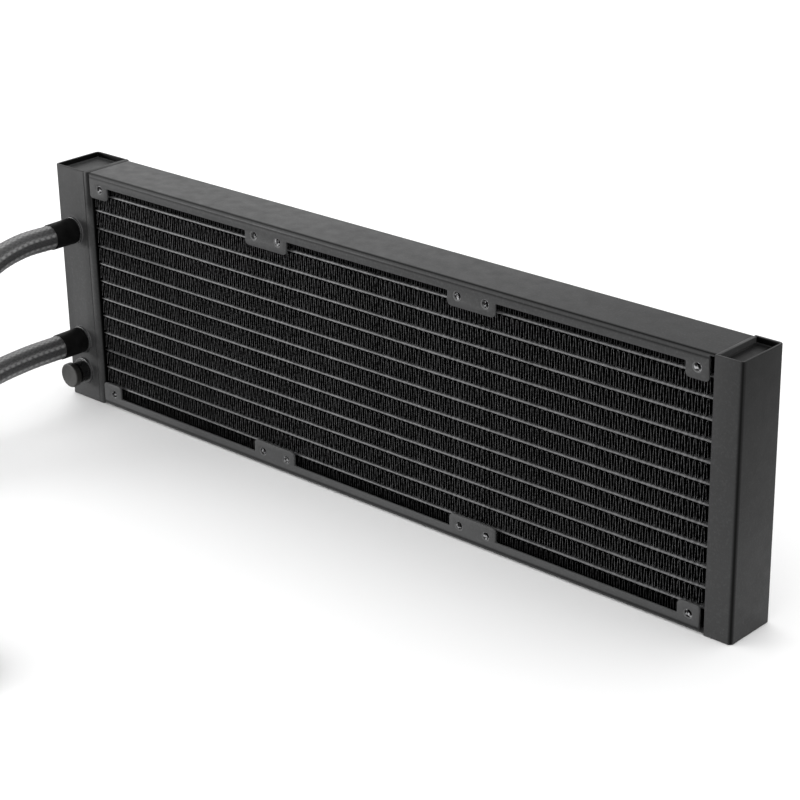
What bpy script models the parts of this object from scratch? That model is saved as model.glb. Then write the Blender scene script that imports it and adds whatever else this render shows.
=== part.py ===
"""A 360 mm liquid cooling radiator: core, tanks, side plates, fill port and two hoses.

The frame is in metres with +Z up. The radiator stands on one long edge. The origin is under the
middle of the fan hole pattern, at the middle of the thickness, on the face that it stands on.
The hoses leave the front face, which looks along -Y, at the left end.
"""
import math

import bmesh
import bpy
from mathutils import Matrix, Vector

MM = 0.001
GAP = 0.3 * MM  # clearance between pieces that touch on the real object

# Overall size and the fan pattern
HEIGHT = 119.0 * MM
DEPTH = 27.0 * MM
LEFT_END = -204.2 * MM
RIGHT_END = 193.3 * MM
FAN_PITCH = 120.0 * MM
HOLE_PITCH = 105.0 * MM
HALF_HEIGHT = HEIGHT / 2
HALF_DEPTH = DEPTH / 2

# Tanks
LEFT_TANK_WIDTH = 20.8 * MM
RIGHT_TANK_WIDTH = 13.1 * MM
TANK_WALL = 1.2 * MM
TANK_CORNER = 2.0 * MM
TANK_MOUTH_CORNER = 0.8 * MM
HEADER_THICKNESS = 1.5 * MM  # the right header plate, inside its tank's mouth
BAND_THICKNESS = 3.0 * MM  # the left header plate, in front of its tank's mouth
BAND_CORNER = 2.4 * MM
POCKET_DEPTH = 2.8 * MM
CAP_THICKNESS = 1.5 * MM
BAFFLE_THICKNESS = 1.2 * MM

# Core
TUBE_COUNT = 12
TUBE_PITCH = 8.96 * MM
TUBE_THICKNESS = 1.7 * MM
TUBE_DEPTH = 21.5 * MM
TUBE_WALL = 0.35 * MM
TUBE_INTO_TANK = 2.0 * MM
FIN_DEPTH = 20.8 * MM
FIN_SHEET = 0.4 * MM
FIN_LEFT = -179.5 * MM
FIN_RIGHT = 177.6 * MM
FIN_LEGS = 40

# Side plates
PLATE_THICKNESS = 1.2 * MM
PLATE_BEND = 2.0 * MM
FLANGE_DEPTH = 5.5 * MM
TAB_DEPTH = 11.9 * MM
TAB_CHAMFER = 2.0 * MM
CUT_PAST_TAB = 6.0 * MM  # how far the end cuts reach past the last tab
CUT_BELOW_TAB = 1.0 * MM
CUT_PAST_FACE = 2.0 * MM
TAB_LEFT_END = -179.2 * MM
TAB_RIGHT_END = 177.8 * MM
TAB_BESIDE_HOLE = 5.3 * MM
SCREW_RADIUS = 1.4 * MM
COUNTERSINK_RADIUS = 2.2 * MM
COUNTERSINK_DEPTH = 0.5 * MM

# Ports on the left tank
PORT_X = -193.7 * MM
INLET_Z = 87.6 * MM
OUTLET_Z = 31.0 * MM
FILL_Z = 14.5 * MM
BARB_FLANGE_RADIUS = 6.7 * MM
BARB_FLANGE_THICKNESS = 0.8 * MM
BARB_RADIUS = 4.5 * MM
BARB_RIDGE = 0.4 * MM
BARB_LENGTH = 11.5 * MM
BARB_RIDGE_LENGTH = 1.6 * MM
BARB_RIDGE_SHARES = (0.35, 0.8)  # where the ridges start along the barb
ROOT_LENGTH = 2.5 * MM  # how far a port's root reaches behind the tank's face
BORE_RADIUS = 3.4 * MM
COLLAR_RADIUS = 6.4 * MM
COLLAR_BORE = 5.3 * MM
COLLAR_LENGTH = 13.4 * MM
COLLAR_EDGE = 0.5 * MM

# Fill port
NECK_RADIUS = 5.2 * MM
NECK_FLANGE_RADIUS = 6.6 * MM
NECK_FLANGE_THICKNESS = 0.8 * MM
NECK_ROOT_WALL = 0.5 * MM
NECK_LENGTH = 5.1 * MM
NECK_BORE = 4.2 * MM
SEAL_THICKNESS = 0.9 * MM
SEAL_INSET = 0.1 * MM  # how far the seal's rim stands inside the neck's
SEAL_EDGE = 0.25 * MM
PLUG_HEAD_RADIUS = 6.1 * MM
PLUG_HEAD_THICKNESS = 3.0 * MM
PLUG_STUD_RADIUS = 3.9 * MM
PLUG_STUD_LENGTH = 5.0 * MM
PLUG_EDGE = 0.5 * MM

# Hoses and the swivel elbows at their far ends
HOSE_RADIUS = 5.9 * MM
HOSE_POINT_SPACING = 18.0 * MM
HOSE_STRAIGHT = 4.0 * MM  # how far each end runs straight out of its sleeve
ELBOW_RADIUS = 5.6 * MM
ELBOW_BEND = 7.0 * MM
ELBOW_SPIGOT_RADIUS = 4.6 * MM
ELBOW_SPIGOT_LENGTH = 4.0 * MM
ELBOW_NECK = 2.0 * MM  # straight length between the bend and the spigot
ELBOW_RIDGE_SHARE = 0.2  # length of the barb's one ridge, as a share of the barb
SWIVEL_RADIUS = 8.0 * MM
SWIVEL_THICKNESS = 5.5 * MM
SWIVEL_THREAD_RADIUS = 6.5 * MM
SWIVEL_THREAD_LENGTH = 5.0 * MM
SWIVEL_EDGE = 0.6 * MM
SWIVEL_SEAL_RADIUS = 7.6 * MM
SWIVEL_SEAL_THICKNESS = 1.0 * MM
SWIVEL_SEAL_EDGE = 0.3 * MM

# Each hose's route, as points in millimetres that a smooth curve goes through
INLET_ROUTE = [
    (-193.7, -28.5, 87.6), (-193.7, -46.3, 87.6), (-193.0, -63.7, 84.0), (-191.5, -79.1, 75.2),
    (-189.4, -90.9, 62.2), (-186.8, -100.3, 47.2), (-184.1, -109.6, 32.2), (-181.8, -121.3, 19.0),
    (-180.0, -136.5, 10.0), (-179.2, -153.8, 6.4), (-178.3, -171.6, 6.2), (-172.3, -188.4, 6.1),
    (-161.2, -202.2, 6.1), (-146.2, -211.7, 6.1), (-128.9, -215.9, 6.1), (-111.1, -216.0, 6.1),
    (-93.2, -216.0, 6.1), (-75.4, -216.0, 6.3), (-57.5, -216.0, 6.7), (-39.5, -216.0, 6.8),
]
OUTLET_ROUTE = [
    (-193.7, -28.5, 31.0), (-193.7, -50.0, 31.0), (-193.7, -72.0, 28.9), (-193.7, -94.0, 22.4),
    (-193.7, -116.0, 14.0), (-193.7, -138.0, 8.0), (-193.7, -159.0, 6.2), (-191.0, -180.5, 6.1),
    (-182.0, -200.5, 6.1), (-167.0, -216.5, 6.1), (-148.0, -226.5, 6.1), (-126.0, -230.0, 6.1),
    (-100.0, -230.0, 6.1), (-74.0, -230.0, 6.3), (-53.0, -230.0, 6.7), (-30.0, -230.0, 6.8),
]

# Values that follow from the driving dimensions
LEFT_MOUTH = LEFT_END + LEFT_TANK_WIDTH
RIGHT_MOUTH = RIGHT_END - RIGHT_TANK_WIDTH
BAND_START = LEFT_MOUTH + GAP
BAND_END = BAND_START + BAND_THICKNESS
HOLE_XS = [
    fan * FAN_PITCH + side * HOLE_PITCH / 2 for fan in (-1, 0, 1) for side in (-1, 1)
]
TUBE_ZS = [(i - (TUBE_COUNT - 1) / 2) * TUBE_PITCH for i in range(TUBE_COUNT)]
TO_FRONT = (math.pi / 2, 0.0, 0.0)  # turns a piece's own +Z to the front, -Y
CENTRE = (0.0, 0.0, HALF_HEIGHT)


# Materials

def make_material(name, color, roughness, metallic):
    """A Principled BSDF with one colour."""
    material = bpy.data.materials.new(name)
    material.use_nodes = True
    shader = material.node_tree.nodes["Principled BSDF"]
    shader.inputs["Base Color"].default_value = (*color, 1.0)
    shader.inputs["Roughness"].default_value = roughness
    shader.inputs["Metallic"].default_value = metallic
    return material


# Mesh tools

def make_object(name, mesh, material, location=(0.0, 0.0, 0.0), rotation=(0.0, 0.0, 0.0)):
    """A scene object that shows a mesh or curve in one material, or in none if it is a cutter."""
    piece = bpy.data.objects.new(name, mesh)
    piece.location = location
    piece.rotation_euler = rotation
    bpy.context.collection.objects.link(piece)
    if material is not None:
        piece.data.materials.append(material)
    return piece


def finish_mesh(bm, name):
    """Turns a bmesh into a mesh with its faces pointing out."""
    bmesh.ops.recalc_face_normals(bm, faces=bm.faces)
    mesh = bpy.data.meshes.new(name)
    bm.to_mesh(mesh)
    bm.free()
    return mesh


def shade_round(piece):
    """Smooth shading with sharp edges kept."""
    piece.data.shade_smooth()
    piece.data.set_sharp_from_angle(angle=math.radians(35))


def add_prism(bm, outline, low, high, place):
    """Adds a closed prism: place(u, v, w) turns an outline point and a height into a position."""
    bottom = [bm.verts.new(place(u, v, low)) for u, v in outline]
    top = [bm.verts.new(place(u, v, high)) for u, v in outline]
    count = len(outline)
    bm.faces.new(bottom)
    bm.faces.new(list(reversed(top)))
    for i in range(count):
        j = (i + 1) % count
        bm.faces.new((bottom[i], top[i], top[j], bottom[j]))


def along_x(u, v, w):
    return (w, u, v)


def along_y(u, v, w):
    return (u, w, v)


def along_z(u, v, w):
    return (u, v, w)


def add_ring_prism(bm, outer, inner, low, high, place):
    """Adds a prism with a hole through it; both outlines have the same number of points."""
    loops = [
        [bm.verts.new(place(u, v, w)) for u, v in outline]
        for outline in (outer, inner)
        for w in (low, high)
    ]
    outer_low, outer_high, inner_low, inner_high = loops
    count = len(outer)
    for i in range(count):
        j = (i + 1) % count
        bm.faces.new((outer_low[i], outer_high[i], outer_high[j], outer_low[j]))
        bm.faces.new((inner_low[i], inner_low[j], inner_high[j], inner_high[i]))
        bm.faces.new((outer_low[i], outer_low[j], inner_low[j], inner_low[i]))
        bm.faces.new((outer_high[i], inner_high[i], inner_high[j], outer_high[j]))


def add_turned(bm, profile, sides, axis_point=(0.0, 0.0, 0.0), turn=None):
    """Adds a turned piece. The profile is a closed loop of (radius, height) points.

    Points with no radius become poles, so a solid piece's profile starts and ends on the axis.
    """
    turn = turn or Matrix.Identity(3)
    base = Vector(axis_point)
    rings = []
    for radius, height in profile:
        if radius < 1e-9:
            rings.append([bm.verts.new(base + turn @ Vector((0, 0, height)))])
            continue
        ring = []
        for i in range(sides):
            angle = 2 * math.pi * i / sides
            point = Vector((radius * math.cos(angle), radius * math.sin(angle), height))
            ring.append(bm.verts.new(base + turn @ point))
        rings.append(ring)
    for k, ring in enumerate(rings):
        after = rings[(k + 1) % len(rings)]
        if len(ring) == 1 and len(after) == 1:
            continue
        for i in range(sides):
            j = (i + 1) % sides
            corners = [ring[i % len(ring)], ring[j % len(ring)]]
            corners += [after[j % len(after)], after[i % len(after)]]
            bm.faces.new(list(dict.fromkeys(corners)))


def turned_mesh(name, profile, sides):
    bm = bmesh.new()
    add_turned(bm, profile, sides)
    return finish_mesh(bm, name)


def arc_points(centre, radius, start, end, steps):
    """Points on an arc, with both ends; angles in degrees."""
    points = []
    for i in range(steps + 1):
        angle = math.radians(start + (end - start) * i / steps)
        points.append((centre[0] + radius * math.cos(angle), centre[1] + radius * math.sin(angle)))
    return points


def rounded_box_outline(low_u, high_u, low_v, high_v, radius, steps=3):
    outline = []
    for u, v, start in (
        (high_u - radius, high_v - radius, 0),
        (low_u + radius, high_v - radius, 90),
        (low_u + radius, low_v + radius, 180),
        (high_u - radius, low_v + radius, 270),
    ):
        outline += arc_points((u, v), radius, start, start + 90, steps)
    return outline


def cut(piece, cutter):
    """Subtracts a hidden cutter from a piece."""
    cutter.hide_render = True
    cutter.display_type = "WIRE"
    boolean = piece.modifiers.new("cut", "BOOLEAN")
    boolean.operation = "DIFFERENCE"
    boolean.solver = "EXACT"
    boolean.object = cutter


# Tanks, their header plates, end caps and baffle

def tank_outline(width, corner, mouth_corner):
    """A C-shaped wall seen from above, with its end wall at x = 0 and its mouth at +X."""
    wall = TANK_WALL
    outside = [(width, -HALF_DEPTH + wall)]
    outside += list(
        reversed(arc_points((width - mouth_corner, -HALF_DEPTH + mouth_corner), mouth_corner, 270, 360, 2))
    )
    outside += list(reversed(arc_points((corner, -HALF_DEPTH + corner), corner, 180, 270, 4)))
    outside += list(reversed(arc_points((corner, HALF_DEPTH - corner), corner, 90, 180, 4)))
    outside += list(
        reversed(arc_points((width - mouth_corner, HALF_DEPTH - mouth_corner), mouth_corner, 0, 90, 2))
    )
    outside.append((width, HALF_DEPTH - wall))
    inner = corner - wall
    outside += arc_points((corner, HALF_DEPTH - corner), inner, 90, 180, 2)
    outside += arc_points((corner, -HALF_DEPTH + corner), inner, 180, 270, 2)
    return outside


def make_tank(name, end_x, direction, width, material, port_holes):
    """A tank's wall; direction is +1 where its mouth looks to +X."""
    bm = bmesh.new()
    outline = [
        (end_x + direction * u, v) for u, v in tank_outline(width, TANK_CORNER, TANK_MOUTH_CORNER)
    ]
    add_prism(bm, outline, 0.0, HEIGHT, along_z)
    tank = make_object(name, finish_mesh(bm, name), material)
    if port_holes:
        bm = bmesh.new()
        for height, radius in port_holes:
            length = 3 * TANK_WALL
            profile = [(0.0, -length), (radius, -length), (radius, length), (0.0, length)]
            turn = Matrix.Rotation(math.pi / 2, 3, "X")
            add_turned(bm, profile, 16, (PORT_X, -HALF_DEPTH, height), turn)
        cut(tank, make_object(name + "_port_cutter", finish_mesh(bm, name + "_ports"), None))
    shade_round(tank)
    return tank


def stadium(half_length, half_width, steps=4):
    """An outline with two straight sides and round ends, long along its first axis."""
    straight = half_length - half_width
    right = arc_points((straight, 0.0), half_width, -90, 90, steps)
    left = arc_points((-straight, 0.0), half_width, 90, 270, steps)
    return right + left


def make_header_plate(name, outline, low, high, material):
    """The slotted plate that closes a tank's mouth and holds the tube ends, from x low to high."""
    bm = bmesh.new()
    add_prism(bm, outline, 0.0, HEIGHT, along_z)
    plate = make_object(name, finish_mesh(bm, name), material)
    bm = bmesh.new()
    slot = stadium(TUBE_DEPTH / 2 + GAP, TUBE_THICKNESS / 2 + GAP)
    for z in TUBE_ZS:
        moved = [(u, v + HALF_HEIGHT + z) for u, v in slot]
        add_prism(bm, moved, low - HEADER_THICKNESS, high + HEADER_THICKNESS, along_x)
    cut(plate, make_object(name + "_slot_cutter", finish_mesh(bm, name + "_slots"), None))
    shade_round(plate)


def make_header_plates(material):
    """The left plate is a band as deep as the tank; the right one lies inside its tank."""
    corner = BAND_CORNER
    inner_x = BAND_END - corner
    inner_y = HALF_DEPTH - corner
    outline = [(BAND_START, HALF_DEPTH), (BAND_START, -HALF_DEPTH)]
    outline += arc_points((inner_x, -inner_y), corner, -90, 0, 4)
    outline += arc_points((inner_x, inner_y), corner, 0, 90, 4)
    make_header_plate("left_header_plate", outline, BAND_START, BAND_END, material)
    half = HALF_DEPTH - TANK_WALL - GAP
    far_x = RIGHT_MOUTH + HEADER_THICKNESS
    outline = [(RIGHT_MOUTH, -half), (far_x, -half), (far_x, half), (RIGHT_MOUTH, half)]
    make_header_plate("right_header_plate", outline, RIGHT_MOUTH, far_x, material)


def make_tank_cap(name, end_x, direction, inner_u, low_z, material):
    """A flat cap that lies inside a tank's end, below the rim; it ends inner_u from the end."""
    bm = bmesh.new()
    outer_u = TANK_WALL + GAP
    half = HALF_DEPTH - TANK_WALL - GAP
    corner = TANK_CORNER - TANK_WALL
    outline = rounded_box_outline(outer_u, inner_u, -half, half, corner, 2)
    outline = [(end_x + direction * u, v) for u, v in outline]
    add_prism(bm, outline, low_z, low_z + CAP_THICKNESS, along_z)
    return make_object(name, finish_mesh(bm, name), material)


def make_baffle(material):
    """The plate across the middle of the left tank, between the inlet and outlet halves."""
    bm = bmesh.new()
    low_x = LEFT_END + TANK_WALL + GAP
    high_x = BAND_START - TUBE_INTO_TANK - GAP
    half = HALF_DEPTH - TANK_WALL - GAP
    corner = TANK_CORNER - TANK_WALL
    outline = rounded_box_outline(low_x, high_x, -half, half, corner, 2)
    middle = HALF_HEIGHT
    add_prism(
        bm, outline, middle - BAFFLE_THICKNESS / 2, middle + BAFFLE_THICKNESS / 2, along_z
    )
    return make_object("left_tank_baffle", finish_mesh(bm, "left_tank_baffle"), material)


# Core

def make_tubes(material):
    """Flat tubes, open at both ends, which reach a little way into each tank."""
    bm = bmesh.new()
    outer = stadium(TUBE_DEPTH / 2, TUBE_THICKNESS / 2)
    inner = stadium(TUBE_DEPTH / 2 - TUBE_WALL, TUBE_THICKNESS / 2 - TUBE_WALL)
    low = BAND_START - TUBE_INTO_TANK
    high = RIGHT_MOUTH + HEADER_THICKNESS + TUBE_INTO_TANK
    add_ring_prism(bm, outer, inner, low, high, along_x)
    mesh = finish_mesh(bm, "flat_tube")
    mesh.materials.append(material)
    for i, z in enumerate(TUBE_ZS):
        tube = make_object(f"flat_tube_{i + 1:02d}", mesh, None, (0.0, 0.0, HALF_HEIGHT + z))
        shade_round(tube)


def fin_mesh(name, height):
    """A corrugated strip: a zigzag sheet of the given overall height, centred on z = 0."""
    step = (FIN_RIGHT - FIN_LEFT) / FIN_LEGS
    rise = height - FIN_SHEET
    slant = math.hypot(step, rise) / step
    half_sheet = FIN_SHEET / 2 * slant
    crest = height / 2 - half_sheet
    ridge = [
        (FIN_LEFT + i * step, crest if i % 2 else -crest) for i in range(FIN_LEGS + 1)
    ]
    upper = [(x, z + half_sheet) for x, z in ridge]
    lower = [(x, z - half_sheet) for x, z in ridge]
    bm = bmesh.new()
    rows = []
    for y in (-FIN_DEPTH / 2, FIN_DEPTH / 2):
        rows.append([[bm.verts.new((x, y, z)) for x, z in line] for line in (upper, lower)])
    (front_up, front_low), (back_up, back_low) = rows
    for i in range(FIN_LEGS):
        bm.faces.new((front_up[i], front_up[i + 1], back_up[i + 1], back_up[i]))
        bm.faces.new((front_low[i], back_low[i], back_low[i + 1], front_low[i + 1]))
        bm.faces.new((front_up[i], front_low[i], front_low[i + 1], front_up[i + 1]))
        bm.faces.new((back_up[i], back_up[i + 1], back_low[i + 1], back_low[i]))
    for end in (0, FIN_LEGS):
        bm.faces.new((front_up[end], back_up[end], back_low[end], front_low[end]))
    return finish_mesh(bm, name)


def make_fins(material):
    """A fin strip in each space between tubes, and one between each outer tube and side plate."""
    half_tube = TUBE_THICKNESS / 2 + GAP
    inner_height = TUBE_PITCH - 2 * half_tube
    outer_low = TUBE_ZS[-1] + half_tube
    outer_high = HALF_HEIGHT - PLATE_THICKNESS - GAP
    outer_height = outer_high - outer_low
    inner = fin_mesh("fin_strip", inner_height)
    outer = fin_mesh("outer_fin_strip", outer_height)
    inner.materials.append(material)
    outer.materials.append(material)
    middles = [-(outer_low + outer_high) / 2]
    middles += [(a + b) / 2 for a, b in zip(TUBE_ZS, TUBE_ZS[1:])]
    middles.append((outer_low + outer_high) / 2)
    for i, z in enumerate(middles):
        mesh = outer if i in (0, len(middles) - 1) else inner
        make_object(f"fin_strip_{i + 1:02d}", mesh, None, (0.0, 0.0, HALF_HEIGHT + z))


# Side plates

def plate_profile():
    """The top plate's U-shaped section in (y, z), about the radiator's centre."""
    top = HALF_HEIGHT
    bottom = top - TAB_DEPTH
    profile = [(-HALF_DEPTH, bottom)]
    bend_y = -HALF_DEPTH + PLATE_BEND
    profile += list(reversed(arc_points((bend_y, top - PLATE_BEND), PLATE_BEND, 90, 180, 5)))
    profile += [(-y, z) for y, z in reversed(profile)]
    inside = HALF_DEPTH - PLATE_THICKNESS
    under = top - PLATE_THICKNESS
    profile += [(inside, bottom), (inside, under), (-inside, under), (-inside, bottom)]
    return profile


def tab_spans():
    """The left and right edge of each tab along X."""
    beside = TAB_BESIDE_HOLE
    return [
        (TAB_LEFT_END, HOLE_XS[0] + beside),
        (HOLE_XS[1] - beside, HOLE_XS[2] + beside),
        (HOLE_XS[3] - beside, HOLE_XS[4] + beside),
        (HOLE_XS[5] - beside, TAB_RIGHT_END),
    ]


def window_outline(left, right):
    """The space between two tabs, below the flange, with the tabs' corners chamfered."""
    top = HALF_HEIGHT - FLANGE_DEPTH
    bottom = HALF_HEIGHT - TAB_DEPTH
    below = bottom - CUT_BELOW_TAB
    chamfer = TAB_CHAMFER
    return [
        (left - chamfer, below),
        (left - chamfer, bottom),
        (left, bottom + chamfer),
        (left, top),
        (right, top),
        (right, bottom + chamfer),
        (right + chamfer, bottom),
        (right + chamfer, below),
    ]


def end_outline(tab_end, direction):
    """The part of the flange past the last tab, which is cut away at each end."""
    top = HALF_HEIGHT - PLATE_THICKNESS + 0.2 * MM
    bottom = HALF_HEIGHT - TAB_DEPTH
    below = bottom - CUT_BELOW_TAB
    chamfer = TAB_CHAMFER
    past = tab_end + direction * CUT_PAST_TAB
    return [
        (tab_end - direction * chamfer, below),
        (tab_end - direction * chamfer, bottom),
        (tab_end, bottom + chamfer),
        (tab_end, top),
        (past, top),
        (past, below),
    ]


def make_side_plate_cutter():
    """Everything that is cut from a side plate: windows, ends and the countersunk holes."""
    bm = bmesh.new()
    reach = HALF_DEPTH + CUT_PAST_FACE
    spans = tab_spans()
    outlines = [window_outline(a[1], b[0]) for a, b in zip(spans, spans[1:])]
    outlines.append(end_outline(TAB_LEFT_END, -1))
    outlines.append(end_outline(TAB_RIGHT_END, 1))
    for outline in outlines:
        add_prism(bm, outline, -reach, reach, along_y)
    straight = HALF_DEPTH - COUNTERSINK_DEPTH
    profile = [
        (0.0, -reach),
        (COUNTERSINK_RADIUS, -reach),
        (COUNTERSINK_RADIUS, -HALF_DEPTH),
        (SCREW_RADIUS, -straight),
        (SCREW_RADIUS, straight),
        (COUNTERSINK_RADIUS, HALF_DEPTH),
        (COUNTERSINK_RADIUS, reach),
        (0.0, reach),
    ]
    turn = Matrix.Rotation(math.pi / 2, 3, "X")
    for x in HOLE_XS:
        add_turned(bm, profile, 12, (x, 0.0, HOLE_PITCH / 2), turn)
    return make_object("side_plate_cutter", finish_mesh(bm, "side_plate_cutter"), None)


def make_side_plates(material):
    """The top plate, and the same piece turned over for the bottom one."""
    low = BAND_END + GAP
    high = RIGHT_MOUTH - GAP
    for name, rotation in (
        ("side_plate_top", (0.0, 0.0, 0.0)),
        ("side_plate_bottom", (math.pi, 0.0, 0.0)),
    ):
        bm = bmesh.new()
        add_prism(bm, plate_profile(), low, high, along_x)
        plate = make_object(name, finish_mesh(bm, name), material, CENTRE, rotation)
        cutter = make_side_plate_cutter()
        cutter.name = name + "_cutter"
        cutter.location = CENTRE
        cutter.rotation_euler = rotation
        cut(plate, cutter)
        shade_round(plate)


# Ports, collars and the fill port

def barb_profile():
    """A hollow barbed stub: a root, a flange from height 0, then a barbed tube."""
    start = BARB_FLANGE_THICKNESS
    flange = BARB_FLANGE_RADIUS
    profile = [(BORE_RADIUS, -ROOT_LENGTH), (BARB_RADIUS, -ROOT_LENGTH), (BARB_RADIUS, 0.0)]
    profile += [(flange, 0.0), (flange, start), (BARB_RADIUS, start)]
    for share in BARB_RIDGE_SHARES:
        height = start + share * BARB_LENGTH
        profile += [(BARB_RADIUS, height), (BARB_RADIUS + BARB_RIDGE, height)]
        profile.append((BARB_RADIUS, height + BARB_RIDGE_LENGTH))
    profile += [(BARB_RADIUS, start + BARB_LENGTH), (BORE_RADIUS, start + BARB_LENGTH)]
    return profile


def collar_profile():
    """A sleeve over a hose end, with its outer edges rounded off."""
    edge = COLLAR_EDGE
    return [
        (COLLAR_BORE, 0.0),
        (COLLAR_RADIUS - edge, 0.0),
        (COLLAR_RADIUS, edge),
        (COLLAR_RADIUS, COLLAR_LENGTH - edge),
        (COLLAR_RADIUS - edge, COLLAR_LENGTH),
        (COLLAR_BORE, COLLAR_LENGTH),
    ]


def make_ports(coat, rubber):
    """The barbed stub brazed into the tank's front face at each hose, and the sleeve around it."""
    for name, z in (("inlet", INLET_Z), ("outlet", OUTLET_Z)):
        barb = turned_mesh(name + "_barb", barb_profile(), 16)
        face = -HALF_DEPTH - GAP
        shade_round(make_object(name + "_barb", barb, coat, (PORT_X, face, z), TO_FRONT))
        collar = turned_mesh(name + "_collar", collar_profile(), 16)
        start = face - BARB_FLANGE_THICKNESS - GAP
        shade_round(make_object(name + "_collar", collar, rubber, (PORT_X, start, z), TO_FRONT))


def make_fill_port(coat, plug_material, rubber):
    """The threaded neck, the screw plug and the seal under the plug's head."""
    neck_profile = [
        (NECK_BORE, -ROOT_LENGTH),
        (NECK_BORE + NECK_ROOT_WALL, -ROOT_LENGTH),
        (NECK_BORE + NECK_ROOT_WALL, 0.0),
        (NECK_FLANGE_RADIUS, 0.0),
        (NECK_FLANGE_RADIUS, NECK_FLANGE_THICKNESS),
        (NECK_RADIUS, NECK_FLANGE_THICKNESS),
        (NECK_RADIUS, NECK_LENGTH),
        (NECK_BORE, NECK_LENGTH),
    ]
    face = -HALF_DEPTH - GAP
    neck = turned_mesh("fill_neck", neck_profile, 20)
    shade_round(make_object("fill_neck", neck, coat, (PORT_X, face, FILL_Z), TO_FRONT))

    seal_inner = PLUG_STUD_RADIUS + GAP
    seal_outer = NECK_RADIUS - SEAL_INSET
    edge = SEAL_EDGE
    seal_profile = [
        (seal_inner, edge),
        (seal_inner + edge, 0.0),
        (seal_outer - edge, 0.0),
        (seal_outer, edge),
        (seal_outer, SEAL_THICKNESS - edge),
        (seal_outer - edge, SEAL_THICKNESS),
        (seal_inner + edge, SEAL_THICKNESS),
        (seal_inner, SEAL_THICKNESS - edge),
    ]
    seal_y = face - NECK_LENGTH - GAP
    seal = turned_mesh("fill_seal", seal_profile, 20)
    shade_round(make_object("fill_seal", seal, rubber, (PORT_X, seal_y, FILL_Z), TO_FRONT))

    bevel = PLUG_EDGE
    plug_profile = [
        (0.0, -PLUG_STUD_LENGTH),
        (PLUG_STUD_RADIUS - bevel, -PLUG_STUD_LENGTH),
        (PLUG_STUD_RADIUS, -PLUG_STUD_LENGTH + bevel),
        (PLUG_STUD_RADIUS, 0.0),
        (PLUG_HEAD_RADIUS - bevel, 0.0),
        (PLUG_HEAD_RADIUS, bevel),
        (PLUG_HEAD_RADIUS, PLUG_HEAD_THICKNESS - bevel),
        (PLUG_HEAD_RADIUS - bevel, PLUG_HEAD_THICKNESS),
        (0.0, PLUG_HEAD_THICKNESS),
    ]
    plug_y = seal_y - SEAL_THICKNESS - GAP
    plug = turned_mesh("fill_plug", plug_profile, 20)
    shade_round(make_object("fill_plug", plug, plug_material, (PORT_X, plug_y, FILL_Z), TO_FRONT))


# Hoses and the fittings at their far ends

def smooth_curve(points, per_span=12):
    """Catmull-Rom samples through the points."""
    ends = [2 * points[0] - points[1]] + points + [2 * points[-1] - points[-2]]
    samples = []
    for before, start, end, after in zip(ends, ends[1:], ends[2:], ends[3:]):
        for i in range(per_span):
            t = i / per_span
            samples.append(
                0.5
                * (
                    2 * start
                    + (end - before) * t
                    + (2 * before - 5 * start + 4 * end - after) * t * t
                    + (3 * start - before - 3 * end + after) * t * t * t
                )
            )
    samples.append(points[-1])
    return samples


def evenly_spaced(samples, spacing):
    """Points at equal distances along a sampled curve, with both ends."""
    lengths = [(b - a).length for a, b in zip(samples, samples[1:])]
    count = max(2, round(sum(lengths) / spacing))
    step = sum(lengths) / count
    points = [samples[0]]
    walked = 0.0
    for start, end, length in zip(samples, samples[1:], lengths):
        while len(points) < count and walked + length >= step * len(points):
            share = (step * len(points) - walked) / length
            points.append(start.lerp(end, share))
        walked += length
    points.append(samples[-1])
    return points


def make_hose(name, route, material):
    """A hose as a round bar along its route, with flat ends."""
    route = [Vector(point) * MM for point in route]
    points = evenly_spaced(smooth_curve(route), HOSE_POINT_SPACING)
    points.insert(1, points[0] + (route[1] - route[0]).normalized() * HOSE_STRAIGHT)
    points.insert(-1, points[-1] + (route[-2] - route[-1]).normalized() * HOSE_STRAIGHT)
    curve = bpy.data.curves.new(name, "CURVE")
    curve.dimensions = "3D"
    curve.bevel_depth = HOSE_RADIUS
    curve.bevel_resolution = 3
    curve.use_fill_caps = True
    spline = curve.splines.new("POLY")
    spline.points.add(len(points) - 1)
    for point, position in zip(spline.points, points):
        point.co = (*position, 1.0)
    make_object(name, curve, material)


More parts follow.
